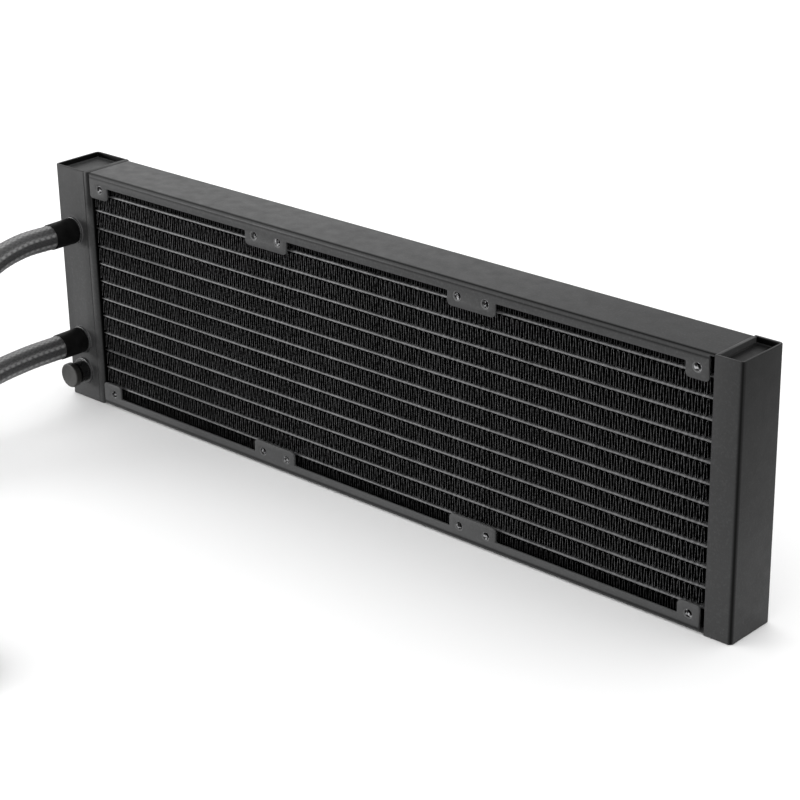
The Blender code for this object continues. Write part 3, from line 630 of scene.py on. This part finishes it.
def braid_surface(angle, along):
    """Height above the core, place across the top yarn, share of full height, painted highlight
    streaks.
    """
    turn = angle / (2 * math.pi) * YARNS_EACH_WAY
    climb = along / YARN_PITCH_ALONG
    heights, offsets = [], []
    for own, other, over in (
        (turn + climb, turn - climb, YARN_RISE), (turn - climb, turn + climb, -YARN_RISE),
    ):
        yarn = np.round(own)
        offsets.append(own - yarn)
        bulge = np.sqrt(np.clip(1 - (2 * offsets[-1]) ** 2, 0, 1))
        wave = over * np.cos(math.pi * (other + yarn))
        heights.append(wave + YARN_HALF_THICKNESS * bulge)
    height = np.maximum(*heights)
    on_first = heights[0] > heights[1]
    across = np.where(on_first, *offsets)
    # painted highlight streaks, stronger on the yarns wound one way
    highlight_streak = 0.85 * np.clip(np.cos(HIGHLIGHT_STREAKS * angle) + 0.5 * on_first - 0.2, 0, 1)
    return height, across, height / (YARN_RISE + YARN_HALF_THICKNESS), highlight_streak


def make_hose(name, node, route, material):
    """A braided hose as one closed tube."""
    line = hose_line(route)
    sides, ups = frames_along(line)
    angles = 2 * math.pi * np.arange(HOSE_SIDES) / HOSE_SIDES
    step = np.linalg.norm(line[1] - line[0])
    along = np.arange(len(line))[:, None] * step
    height, across, share, highlight_streak = braid_surface(angles[None, :], along)
    radius = HOSE_RADIUS - YARN_RISE - YARN_HALF_THICKNESS + height
    points = (
        line[:, None, :]
        + (radius * np.cos(angles))[:, :, None] * sides[:, None, :]
        + (radius * np.sin(angles))[:, :, None] * ups[:, None, :]
    ).reshape(-1, 3)
    mesh = mesh_from(name, points, ring_faces(len(line), HOSE_SIDES, False))
    for label, values in (("across_yarn", across), ("yarn_height", share), ("highlight_streak", highlight_streak)):
        store(mesh, label, values.ravel().astype(np.float32))
    piece = add_piece(name, mesh, material, [node], sharp=80.0)


# Round fittings

def sleeve_profile(length):
    """A sleeve that widens a little towards the fitting, with soft edges and an open mouth."""
    inner = HOSE_RADIUS + 0.05 * MM
    narrow = 6.25 * MM
    wide = 6.4 * MM
    seat = 5.3 * MM
    mouth = 3.0 * MM
    profile = [(seat, 0.0)]
    profile += corner(wide, 0.0, 0.5 * MM, 270, 5)
    for share in np.linspace(0.15, 0.85, 8):
        profile.append((wide + (narrow - wide) * share**0.7, share * length))
    profile += corner(narrow, length, 0.22 * MM, 0, 4)
    profile += [(inner, length), (inner, length - mouth), (seat, length - mouth)]
    return profile


def make_sleeve(name, node, place, direction, length, material):
    mesh = turned_to(lathe(name, sleeve_profile(length), 64), place, direction)
    return add_piece(name, mesh, material, [node], sharp=50.0)


def flange_profile(bore, inside, ring, foot, slope, rise, edge, stem):
    """A ring brazed on the tank around a stem, from its bore to its rounded rim."""
    profile = [(bore, -2.4 * MM), (inside, -2.4 * MM), (inside, -0.2 * MM)]
    profile += [(ring + foot, -0.05 * MM), (ring + slope, 0.15 * MM), (ring, rise)]
    profile += corner(ring, RING_THICKNESS, edge, 0, 5)
    return profile + [(stem, RING_THICKNESS)]


def make_port(side, material):
    """The barbed stub's ring with its braze fillet against the tank, as far as it shows."""
    low, high, centre = placed(side + "_barb")
    face = -HALF_DEPTH
    ring = (high.x - low.x) / 2
    bore = 3.4 * MM
    barb = 4.5 * MM
    profile = flange_profile(
        bore, barb, ring, 0.45 * MM, 0.15 * MM, 0.5 * MM, 0.35 * MM, barb
    )
    for start in (RING_THICKNESS + 4.0 * MM, RING_THICKNESS + 8.0 * MM):
        profile += [(barb, start), (barb + 0.4 * MM, start + 0.2 * MM), (barb, start + 1.8 * MM)]
    end = RING_THICKNESS + 11.2 * MM
    profile += [(barb, end), (bore, end)]
    mesh = lathe(side + "_port", profile, 64)
    turned_to(mesh, (centre.x, face, centre.z), (0, -1, 0))
    add_piece(side + "_port", mesh, material, [side + "_barb"])


def seal_mesh(name, outer, inner_centre, half):
    """A rubber ring with rounded inner and outer sides."""
    profile = arc((outer - half, half), half, -90, 90, 8)
    return lathe(name, profile + arc((inner_centre, half), half, 90, 270, 8), 64)


def make_fill_port(paint, plastic, rubber):
    """The filling neck, its seal and the round screw plug."""
    low, high, centre = placed("fill_neck")
    face = -HALF_DEPTH
    ring = (high.x - low.x) / 2
    bore = 4.2 * MM
    wall = 5.2 * MM
    length = face - low.y
    profile = flange_profile(
        bore, 4.7 * MM, ring, 0.4 * MM, 0.12 * MM, 0.45 * MM, 0.4 * MM, wall
    )
    profile += [(wall, length), (bore, length)]
    mesh = lathe("filling_neck", profile, 64)
    # painted shade on the neck past its ring, in the gap under the plug
    past = wall + 0.01 * MM
    mark(mesh, "bend", lambda x, y, z: 0.8 if math.hypot(x, y) < past and z > 0 else 0.0)
    turned_to(mesh, (centre.x, face, centre.z), (0, -1, 0))
    add_piece("filling_neck", mesh, paint, ["fill_neck"])

    low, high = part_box("fill_seal")
    outer = (high.x - low.x) / 2
    half = (high.y - low.y) / 2
    place = (centre.x, high.y, centre.z)
    mesh = turned_to(seal_mesh("plug_washer", outer, 4.25 * MM + half, half), place, (0, -1, 0))
    add_piece("plug_washer", mesh, rubber, ["fill_seal"], "plug_seal")

    low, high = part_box("fill_plug")
    head = (high.x - low.x) / 2
    stud = 3.9 * MM
    stud_length = 5.0 * MM
    top = high.y - stud_length - low.y
    tip = -stud_length
    groove = stud - 0.45 * MM
    profile = [(1.2 * MM, tip + 0.2 * MM), (stud - 0.5 * MM, tip), (stud, tip + 0.5 * MM)]
    for turn in range(4):
        height = tip + (0.9 + turn) * MM
        profile += [(stud, height), (groove, height + 0.5 * MM)]
    profile += [(groove, 0.0), (head - 0.3 * MM, 0.0), (head, 0.3 * MM)]
    profile += corner(head, top, 0.55 * MM, 0, 8)
    dip = top - 0.06 * MM
    profile += [(head - 1.1 * MM, top), (head - 1.35 * MM, dip), (1.0 * MM, dip)]
    mesh = turned("filling_plug", profile, 72)
    turned_to(mesh, (centre.x, high.y - stud_length, centre.z), (0, -1, 0))
    add_piece("filling_plug", mesh, plastic, ["fill_plug"], "plug")


def make_elbow(side, plastic):
    """A right-angle fitting: a barb and ring, a round bend and a short neck up to the swivel."""
    low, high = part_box(side + "_elbow")
    axis = placed(side + "_swivel_base")[2]
    half = (high.y - low.y) / 2
    level = low.z + half
    bend = 7.0 * MM
    outer = 5.6 * MM
    bore = 3.4 * MM
    barb = 4.5 * MM
    ring_width = 0.8 * MM
    ring_end = -bend
    stations = []
    tip = low.x - axis.x
    for x, radius in (
        (tip, barb - 0.3 * MM), (tip + 2.5 * MM, barb + 0.4 * MM), (tip + 2.6 * MM, barb),
        (tip + 6.5 * MM, barb + 0.4 * MM), (tip + 6.6 * MM, barb), (ring_end - ring_width, barb),
        (ring_end - ring_width, half - 0.25 * MM), (ring_end - ring_width + 0.25 * MM, half),
        (ring_end - 0.25 * MM, half), (ring_end, half - 0.25 * MM), (ring_end, outer),
    ):
        stations.append(((x, 0.0), 0.0, radius))
    bend_start = len(stations) - 1
    bend_steps = 24
    for i in range(1, bend_steps + 1):
        angle = math.pi / 2 * i / bend_steps
        place = (-bend + bend * math.sin(angle), bend - bend * math.cos(angle))
        stations.append((place, angle, outer))
    inside = [stations[0], *stations[bend_start:]]
    top = bend + 2.0 * MM
    neck = 4.6 * MM
    for height, radius in (
        (top - 0.3 * MM, outer), (top, outer - 0.3 * MM), (top, neck), (high.z - level, neck),
    ):
        stations.append(((0.0, height), math.pi / 2, radius))
    inside.append(stations[-1])
    loops = stations + [(place, angle, bore) for place, angle, _ in reversed(inside)]
    sides = 48
    points = []
    for (x, z), angle, radius in loops:
        for i in range(sides):
            turn = 2 * math.pi * i / sides
            rise = radius * math.sin(turn)
            points.append((
                axis.x + x - math.sin(angle) * rise,
                axis.y + radius * math.cos(turn),
                level + z + math.cos(angle) * rise,
            ))
    name = side + "_elbow_body"
    mesh = mesh_from(name, points, ring_faces(len(loops), sides, True))
    return add_piece(name, mesh, plastic, [side + "_elbow"], sharp=40.0)


def make_swivel(side, plastic, rubber):
    """The knurled ring with its threaded end, and the O-ring on its shoulder."""
    low, high, axis = placed(side + "_swivel_base")
    ring = (high.x - low.x) / 2
    socket = 4.9 * MM
    bore = 3.4 * MM
    ring_height = 5.5 * MM
    thread = 6.5 * MM
    total = high.z - low.z
    edge = 0.5 * MM
    profile = [(socket, 0.0)]
    profile += corner(ring, 0.0, edge, -90, 4)
    profile += [(ring, 0.3 * ring_height), (ring, 0.7 * ring_height)]
    profile += corner(ring, ring_height, edge, 0, 4)
    profile += [(thread - 0.7 * MM, ring_height), (thread - 0.7 * MM, ring_height + 1.0 * MM)]
    pitch = 1.1 * MM
    height = ring_height + 1.1 * MM
    while height + pitch < total - 0.2 * MM:
        profile += [(thread - 0.6 * MM, height), (thread, height + 0.4 * pitch)]
        profile.append((thread, height + 0.55 * pitch))
        height += pitch
    profile += [(thread - 0.6 * MM, total - 0.3 * MM), (thread - 0.9 * MM, total), (bore, total)]
    profile += [(bore, 4.3 * MM), (socket, 4.3 * MM)]
    knurls = 40

    def ripple(angle, radius, height):
        if radius < ring - 0.6 * MM or not 0.15 * MM < height < ring_height - 0.15 * MM:
            return radius
        return radius - 0.22 * MM * (0.5 - 0.5 * math.cos(knurls * angle))

    mesh = lathe(side + "_swivel_ring", profile, knurls * 6, ripple)
    turned_to(mesh, (axis.x, axis.y, low.z), (0, 0, 1))
    add_piece(
        side + "_swivel_ring", mesh, plastic, [side + "_swivel_base"],
        side + "_swivel", sharp=50.0,
    )
    low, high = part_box(side + "_swivel_seal")
    outer = (high.x - low.x) / 2
    half = (high.z - low.z) / 2
    name = side + "_o_ring"
    mesh = seal_mesh(name, outer, 6.5 * MM, half)
    turned_to(mesh, (axis.x, axis.y, low.z), (0, 0, 1))
    add_piece(name, mesh, rubber, [side + "_swivel_seal"], side + "_swivel")


def make_plumbing(side, route, materials):
    """One hose with everything on it: its sleeves, port, elbow and swivel."""
    rubber = materials["rubber"]
    low, high, middle = placed(side + "_collar")
    start = (middle.x, high.y, middle.z)
    make_sleeve(side + "_sleeve", side + "_collar", start, (0, -1, 0), high.y - low.y, rubber)
    make_port(side, materials["ring"])
    node = side + "_elbow_collar"
    low, high, middle = placed(node)
    start = (high.x, middle.y, middle.z)
    length = high.x - low.x
    far_sleeve = make_sleeve(side + "_far_sleeve", node, start, (-1, 0, 0), length, rubber)
    elbow = make_elbow(side, materials["fitting"])
    make_swivel(side, materials["fitting"], rubber)
    make_hose(side + "_braided_hose", side + "_hose", route, materials["braid"])


# Core

def box_corners(centre, half_length, half_depth, half_thickness, tilt, along, normal):
    """Corners of a thin slat: along its leg, across the strip's depth and through the foil."""
    length = half_length * along
    depth = half_depth * (np.array([0.0, math.cos(tilt), 0.0]) + normal * math.sin(tilt))
    through = half_thickness * (np.array([0.0, -math.sin(tilt), 0.0]) + normal * math.cos(tilt))
    ends = (-1, 1)
    return [
        centre + a * length + b * depth + c * through for a in ends for b in ends for c in ends
    ]


def slat_layout(depth):
    """(middle across the depth, half width, tilt, foil) of each slat on a leg, rims included."""
    lip = 1.3 * MM
    pitch = 1.35 * MM
    chord = 1.2 * MM
    rows = []
    half = depth / 2
    for face in (-1, 1):
        rows.append((face * (half - RIM_DEPTH / 2), RIM_DEPTH / 2, 0.0, RIM_FOIL))
        rows.append((face * (half - (lip + RIM_DEPTH) / 2), (lip - RIM_DEPTH) / 2, 0.0, FOIL))
        for i in range(SLATS_EACH_FACE):
            middle = face * (half - lip - (i + 0.5) * pitch)
            rows.append((middle, chord / 2, -face * SLAT_TILT, FOIL))
    rest = half - lip - SLATS_EACH_FACE * pitch
    rows.append((0.0, rest, 0.0, FOIL))
    return rows


def fin_strip_mesh(name, low_x, high_x, height, depth, rim):
    """A corrugated strip: near upright legs, cut into tilted slats, under round crests.

    rim says how strong the painted highlight on the foil's front and back edges is.
    """
    folds = round((high_x - low_x) / FOLD_PITCH)
    pitch = (high_x - low_x) / folds
    leg_top = height / 2 - FOIL / 2 - CREST_RISE
    lean = LEG_LEAN * pitch
    points, faces, rims = [], [], []
    cube = [(0, 1, 3, 2), (4, 6, 7, 5), (0, 4, 5, 1), (2, 3, 7, 6), (0, 2, 6, 4), (1, 5, 7, 3)]
    rows = slat_layout(depth)
    for i in range(folds):
        rise = 1 if i % 2 == 0 else -1
        middle_x = low_x + (i + 0.5) * pitch
        start = np.array([middle_x - lean / 2, 0.0, -rise * leg_top])
        end = np.array([middle_x + lean / 2, 0.0, rise * leg_top])
        along = (end - start) / np.linalg.norm(end - start)
        normal = np.array([along[2], 0.0, -along[0]])
        half_length = np.linalg.norm(end - start) / 2
        for middle, half_width, tilt, foil in rows:
            centre = (start + end) / 2 + np.array([0.0, middle, 0.0])
            first = len(points)
            points += box_corners(centre, half_length, half_width, foil / 2, tilt, along, normal)
            rims += [rim * (foil == RIM_FOIL)] * 8
            faces += [[first + k for k in face] for face in cube]
    inside = depth / 2 - RIM_DEPTH
    half_width = (pitch - lean) / 2
    for i in range(1, folds):
        outward = 1 if i % 2 else -1
        middle_x = low_x + i * pitch
        for low_y, high_y, foil in (
            (-depth / 2, -inside, RIM_FOIL), (-inside, inside, FOIL), (inside, depth / 2, RIM_FOIL),
        ):
            loop = []
            for change, start, end in ((foil / 2, 180, 0), (-foil / 2, 0, 180)):
                rise = CREST_RISE + CREST_OVERLAP + min(change, 0.0)
                for u, v in arc((0.0, 0.0), 1.0, start, end, 8):
                    x = middle_x + (half_width + change) * u
                    loop.append((x, outward * (leg_top - CREST_OVERLAP + rise * v)))
            first = len(points)
            points += [(x, y, z) for y in (low_y, high_y) for x, z in loop]
            rims += [rim * (foil == RIM_FOIL)] * (2 * len(loop))
            faces += [[first + k for k in face] for face in ring_faces(2, len(loop), False)]
    mesh = mesh_from(name, points, faces)
    store(mesh, "rim", rims)
    return mesh


def make_fins(material):
    """The strips share two meshes: one for the spaces between tubes, one for the outer spaces."""
    meshes = {}
    tube_low, tube_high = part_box("flat_tube_01")
    depth = tube_high.y - tube_low.y
    touching = 0.9 * MM
    for number in range(1, STRIP_COUNT + 1):
        node = f"fin_strip_{number:02d}"
        low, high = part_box(node)
        outermost = number in (1, STRIP_COUNT)
        if outermost not in meshes:
            height = high.z - low.z + touching
            # the outermost strips get a weaker painted highlight, as painted shade beside the
            # plates
            name, rim = ("outer_fins", OUTER_RIM_HIGHLIGHT) if outermost else ("fins", 1.0)
            meshes[outermost] = fin_strip_mesh(name, low.x, high.x, height, depth, rim)
        add_piece(
            f"fins_{number:02d}", meshes[outermost], material, [node],
            sharp=30.0, location=(0.0, 0.0, (low.z + high.z) / 2),
        )


def tube_mesh(low, high, seed):
    """A flat tube with round noses and a slightly uneven coat."""
    rng = np.random.default_rng(seed)
    half_depth = (high.y - low.y) / 2
    half_thick = TUBE_SHARE_SEEN * (high.z - low.z) / 2
    straight = half_depth - half_thick
    nose = 10
    outline = arc((straight, 0.0), half_thick, -90, 90, nose)
    outline += arc((-straight, 0.0), half_thick, 90, 270, nose)
    xs = np.linspace(low.x, high.x, TUBE_STEPS + 1)
    knots = rng.normal(0.0, 1.0, (TUBE_STEPS + 1, 2))
    mean = np.ones(3) / 3
    smooth = np.stack([np.convolve(knots[:, k], mean, mode="same") for k in range(2)], axis=1)
    points = []
    for step, (x, (front, back)) in enumerate(zip(xs, smooth)):
        braze = BRAZE_RIPPLE if step % 2 else -BRAZE_RIPPLE
        for y, z in outline:
            shift = front if y < 0 else back
            swell = 0.035 * MM * shift * max(0.0, abs(y) / half_depth - 0.8) / 0.2
            points.append((x, y + math.copysign(swell, y), z * (0.9 + 0.1 * shift + braze)))
    return mesh_from("tube", points, ring_faces(len(xs), len(outline), False))


def make_tubes(material):
    for number in range(1, TUBE_COUNT + 1):
        node = f"flat_tube_{number:02d}"
        low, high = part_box(node)
        lift = Vector((0.0, 0.0, (low.z + high.z) / 2))
        mesh = tube_mesh(low - lift, high - lift, number)
        # painted shadow of the left band on the tubes' ends
        mark(mesh, "shadowed_end", lambda x, y, z: float(x < BAND_HIGH.x + SHADOWED_TUBE_END))
        name = f"tube_{number:02d}"
        add_piece(name, mesh, material, [node], sharp=60.0, location=lift)


# Side plates

def plate_profile():
    """The top plate's U-shaped section in (y, z), about the radiator's centre."""
    top = HALF_HEIGHT
    bottom = top - TAB_DEPTH
    # two points on the flange below the bend carry the lower line of painted shade
    profile = [(-HALF_DEPTH, bottom), (-HALF_DEPTH, top - BEND_RADIUS - 0.9 * MM)]
    profile.append((-HALF_DEPTH, top - BEND_RADIUS - 0.35 * MM))
    profile += arc((-HALF_DEPTH + BEND_RADIUS, top - BEND_RADIUS), BEND_RADIUS, 180, 90, 16)
    profile += [(-y, z) for y, z in reversed(profile)]
    inside = HALF_DEPTH - PLATE_THICKNESS
    under = top - PLATE_THICKNESS
    profile += [(inside, bottom), (inside, under), (-inside, under), (-inside, bottom)]
    return profile


def corner_curve(start, corner, end, steps=6):
    """Points that round a corner off between two points."""
    points = []
    for k in range(steps + 1):
        t = k / steps
        points.append(tuple(
            start[n] * (1 - t) ** 2 + 2 * corner[n] * t * (1 - t) + end[n] * t**2 for n in range(2)
        ))
    return points


def window_outline(left, right):
    """The space between two tabs, below the flange, with the tabs' corners rounded off."""
    top = HALF_HEIGHT - FLANGE_DEPTH
    bottom = HALF_HEIGHT - TAB_DEPTH
    below = bottom - 1.0 * MM
    reach = TAB_CORNER
    small = 0.6 * MM
    return [
        (left - reach, below), (left - reach, bottom),
        *corner_curve((left - reach, bottom), (left, bottom), (left, bottom + reach)),
        *corner_curve((left, top - small), (left, top), (left + small, top)),
        *corner_curve((right - small, top), (right, top), (right, top - small)),
        *corner_curve((right, bottom + reach), (right, bottom), (right + reach, bottom)),
        (right + reach, below),
    ]


def end_outline(tab_end, direction):
    """The part of the flange past the last tab, which is cut away at each end."""
    top = HALF_HEIGHT - PLATE_THICKNESS + 0.2 * MM
    bottom = HALF_HEIGHT - TAB_DEPTH
    below = bottom - 1.0 * MM
    reach = TAB_CORNER * 0.7
    past = tab_end + direction * 6.0 * MM
    inner = tab_end - direction * reach
    curve = corner_curve((inner, bottom), (tab_end, bottom), (tab_end, bottom + reach))
    return [(inner, below), *curve, (tab_end, top), (past, top), (past, below)]


def hole_cutters():
    """A countersunk hole through both flanges at each fan screw."""
    cutters = []
    reach = HALF_DEPTH + PAST_FLANGE
    floor = HALF_DEPTH - COUNTERSINK_DEPTH
    profile = [
        (COUNTERSINK_RADIUS, -reach), (COUNTERSINK_RADIUS, -HALF_DEPTH), (HOLE_RADIUS, -floor),
        (HOLE_RADIUS, floor), (COUNTERSINK_RADIUS, HALF_DEPTH), (COUNTERSINK_RADIUS, reach),
    ]
    for x in HOLE_XS:
        cutter = turned("hole", profile, 40)
        cutters.append(turned_to(cutter, (x, 0.0, HOLE_PITCH / 2), (0, -1, 0)))
    return cutters


def plate_painted_shade_and_light(x, y, z):
    """Painted shade in two dark lines along the bend, and a painted highlight on the flange's cut
    edges.
    """
    behind_face = HALF_DEPTH - abs(y)
    # painted highlight on the flange's cut lower edge
    if 0.02 * MM < behind_face < 1.0 * MM and z < HALF_HEIGHT - FLANGE_DEPTH + 0.4 * MM:
        return -1.0
    side = abs(y) - (HALF_DEPTH - BEND_RADIUS)
    rise = z - (HALF_HEIGHT - BEND_RADIUS)
    if side < 0.0 or math.hypot(side, max(rise, 0.0)) < BEND_RADIUS - 0.05 * MM:
        return 0.0
    lower = 0.75
    if rise < 0.0:
        return max(0.0, lower + rise / MM)
    angle = math.degrees(math.atan2(side, rise))
    shade = 0.0
    for line, width, strength in ((31.0, 14.0, 1.0), (90.0, 12.0, lower)):
        shade += strength * math.exp(-(((angle - line) / width) ** 2))
    return shade


def make_side_plates(material, metal):
    """Both side plates and the bare threads in their screw holes."""
    pairs = zip(HOLE_XS[::2], HOLE_XS[1::2])
    outlines = [window_outline(a + TAB_BESIDE_HOLE, b - TAB_BESIDE_HOLE) for a, b in pairs]
    outlines += [end_outline(TAB_LEFT_END, -1), end_outline(TAB_RIGHT_END, 1)]
    reach = HALF_DEPTH + PAST_FLANGE
    cutters = [prism("window", outline, (-reach, reach), ALONG_Y) for outline in outlines]
    cutter = joined("cutters", cutters + hole_cutters())
    blank = prism("plate", plate_profile(), (PLATE_LOW.x, PLATE_HIGH.x), ALONG_X)
    plate = carved(blank, 0.3 * MM, cutter)
    mark(plate, "bend", plate_painted_shade_and_light)
    threads = thread_mesh()
    # painted light over the bottom plate, wherever no other painted shade or light lies
    bottom_painted_light = -0.25
    for name, flip in (("top", 0.0), ("bottom", math.pi)):
        turn = Matrix.Translation((0.0, 0.0, HALF_HEIGHT)) @ Matrix.Rotation(flip, 4, "X")
        mesh = plate.copy()
        mesh.transform(turn)
        if name == "bottom":
            for shade in mesh.attributes["bend"].data:
                shade.value = shade.value or bottom_painted_light
        node = "side_plate_" + name
        add_piece("plate_" + name, mesh, material, [node], sharp=30.0)
        mesh = threads.copy()
        mesh.transform(turn)
        add_piece("screw_threads_" + name, mesh, metal, sharp=25.0)


def thread_mesh():
    """The tapped sleeves in one plate's screw holes, at the front and the back."""
    outer = HOLE_RADIUS + 0.25 * MM
    bore = 1.35 * MM
    ridge = 0.2 * MM
    depth = 2.0 * MM
    mouth = 0.06 * MM
    profile = [(outer, mouth), (outer, depth)]
    height = depth
    while height > 0.35 * MM:
        profile += [(bore + ridge, height), (bore, height - 0.2 * MM)]
        height -= 0.4 * MM
    profile.append((bore + ridge, mouth))
    sleeves = []
    for x in HOLE_XS:
        for side in (-1, 1):
            start = (x, side * (HALF_DEPTH - COUNTERSINK_DEPTH), HOLE_PITCH / 2)
            sleeves.append(turned_to(lathe("thread", profile, 32), start, (0, -side, 0)))
    return joined("screw_threads", sleeves)


# Tanks

def tank_outline(width):
    """A C-shaped wall from above, with its end wall at x = 0 and its mouth at +X."""
    wall = TANK_WALL
    half = HALF_DEPTH
    outside = corner(width, half, MOUTH_CORNER, 0, 5) + corner(0.0, half, TANK_CORNER, 90, 10)
    outside += corner(0.0, -half, TANK_CORNER, 180, 10)
    outside += corner(width, -half, MOUTH_CORNER, 270, 5)
    inner = TANK_CORNER - wall
    inside = corner(wall, half - wall, inner, 90, 6) + corner(wall, wall - half, inner, 180, 6)
    return [(width, -half + wall), *reversed(outside), (width, half - wall), *inside]


def make_tank(name, node, direction, material, holes):
    """A tank's wall with softened rims."""
    low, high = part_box(node)
    width = high.x - low.x
    end_x = low.x if direction > 0 else high.x
    outline = [(end_x + direction * u, v) for u, v in tank_outline(width)]
    blank = prism(name, outline, (low.z, high.z), ALONG_Z)
    cutters = []
    for port, radius in holes:
        centre = placed(port)[2]
        cutter = turned("hole", [(radius, -3 * TANK_WALL), (radius, 3 * TANK_WALL)], 32)
        cutters.append(turned_to(cutter, (centre.x, -HALF_DEPTH, centre.z), (0, -1, 0)))
    cutter = joined("holes", cutters) if cutters else None
    mesh = carved(blank, 0.28 * MM, cutter, 3, True)

    def tank_shade(x, y, z):
        """Painted shade: darker toward the top, darkest in the pockets and along the wall's
        corners; painted light toward the left tank's bottom.
        """
        along = direction * (x - end_x)
        # painted shade on the pockets' inner walls
        if abs(y) < HALF_DEPTH - 0.9 * TANK_WALL and along > 0.9 * TANK_WALL:
            return 1.0
        share_up = z / HEIGHT
        plain = LEFT_SHADE * share_up**4 - LEFT_LIGHT if direction > 0 else RIGHT_SHADE * share_up
        if direction < 0 and along < 0.5 * TANK_CORNER:
            plain += END_SHADE + END_TOP_SHADE * share_up**3
        beside = abs(y) - (HALF_DEPTH - TANK_CORNER)
        if along > TANK_CORNER or beside < 0:
            return plain
        angle = math.atan2(beside, TANK_CORNER - along)
        distance = math.hypot(beside, TANK_CORNER - along)
        if distance < TANK_CORNER - 0.5 * TANK_WALL:
            return 0.0
        return max(plain, max(0.0, math.sin(2 * angle)) ** 1.5)

    mark(mesh, "bend", tank_shade)
    add_piece(name, mesh, material, [node], sharp=30.0)


def make_header_plates(material):
    """The rounded band that closes the left tank, and the plate inside the right one."""
    half = HALF_DEPTH
    far_x = BAND_HIGH.x + CAD_GAP - SEAM
    near_x = BAND_LOW.x - CAD_GAP + SEAM
    outline = corner(near_x, -half, MOUTH_CORNER, 180, 5)
    outline += corner(far_x, -half, BAND_CORNER, 270, 10)
    outline += corner(far_x, half, BAND_CORNER, 0, 10)
    outline += corner(near_x, half, MOUTH_CORNER, 90, 5)
    levels = (BAND_LOW.z, HEIGHT - DARK_BAND_START, HEIGHT - DARK_BAND_FULL, BAND_HIGH.z)
    mesh = carved(prism("left_band", outline, levels, ALONG_Z), 0.2 * MM)

    def band_shade(x, y, z):
        """Painted shade: dark round the corner that faces the core, and darker near the top."""
        past = x - (far_x - BAND_CORNER)
        around = math.degrees(math.atan2(past, abs(y) - (half - BAND_CORNER)))
        if past > 0.0 and around > 60.0:
            return min(1.0, (around - 60.0) / 15.0)
        share = (z - HEIGHT + DARK_BAND_START) / (DARK_BAND_START - DARK_BAND_FULL)
        return 0.7 * min(1.0, max(0.0, share))

    mark(mesh, "bend", band_shade)
    add_piece("left_band", mesh, material, ["left_header_plate"], sharp=30.0)
    low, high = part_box("right_header_plate")
    near_x = low.x - CAD_GAP + SEAM
    outline = [(near_x, low.y), (high.x, low.y), (high.x, high.y), (near_x, high.y)]
    mesh = carved(prism("right_header", outline, (low.z, high.z), ALONG_Z), 0.1 * MM)
    add_piece("right_header", mesh, material, ["right_header_plate"], sharp=30.0)


def cap_mesh(name, low, high, upward):
    """A cap that dips in the pocket: a flat floor with a braze fillet up each wall."""
    reach = 0.35 * MM  # into the gap that the CAD leaves beside the wall

    def ring(inset, z):
        radius = 1.0 * MM + 0.4 * inset
        near_x, far_x = low.x - reach + inset, high.x + reach - inset
        depth = high.y + reach - inset
        places = ((far_x, depth), (near_x, depth), (near_x, -depth), (far_x, -depth))
        points = []
        for quarter, (x, y) in enumerate(places):
            points += [(*point, z) for point in corner(x, y, radius, 90 * quarter, 6)]
        return points

    face = high.z if upward else low.z
    back = low.z if upward else high.z
    sign = 1 if upward else -1
    rows = [ring(0.0, back), ring(0.0, face + sign * BRAZE)]
    for k in range(1, 7):
        angle = math.pi / 2 * k / 6
        inset, rise = BRAZE * (1 - math.cos(angle)), BRAZE * (1 - math.sin(angle))
        rows.append(ring(inset, face + sign * rise))
    rows.append(ring(BRAZE + 0.4 * MM, face))
    points = [point for row in rows for point in row]
    return mesh_from(name, points, ring_faces(len(rows), len(rows[0]), False))


def make_tank_caps(material):
    for side in ("left", "right"):
        for end in ("top", "bottom"):
            node = f"{side}_tank_cap_{end}"
            low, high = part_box(node)
            mesh = cap_mesh(f"{side}_{end}_cap", low, high, end == "top")
            # painted shade on the pocket floors, darkest in the right tank's pocket
            shade = 0.1 if side == "left" else 0.8
            mark(mesh, "bend", lambda x, y, z: shade)
            add_piece(f"{side}_{end}_cap", mesh, material, [node])


def paint_node(name, material):
    """Gives a carried-over CAD node its finish."""
    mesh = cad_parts[name].data
    mesh.materials.clear()
    mesh.materials.append(material)


def main():
    make_camera()
    paint = powder_coat("satin_coat", (0.040, 0.0402, 0.0406), (0.035, 0.0352, 0.0355), 0.42)
    ring_coat = powder_coat("ring_coat", (0.03, 0.0303, 0.031), (0.02, 0.0202, 0.0205), 0.26, 0.45)
    materials = {
        "ring": ring_coat, "rubber": soft_rubber(), "fitting": fitting_plastic(),
        "braid": braid_yarn(),
    }
    make_plumbing("inlet", INLET_ROUTE, materials)
    make_plumbing("outlet", OUTLET_ROUTE, materials)
    make_studio()
    metal = bare_metal()
    ports = [("inlet_barb", 4.8 * MM), ("outlet_barb", 4.8 * MM), ("fill_neck", 5.0 * MM)]
    make_tank("left_end_tank", "left_tank", 1, paint, ports)
    make_tank("right_end_tank", "right_tank", -1, paint, [])
    make_tank_caps(paint)
    make_side_plates(paint, metal)
    make_tubes(tube_coat())
    make_fins(fin_foil())
    make_fill_port(ring_coat, plug_plastic(), materials["rubber"])
    make_header_plates(paint)
    paint_node("left_tank_baffle", metal)


main()
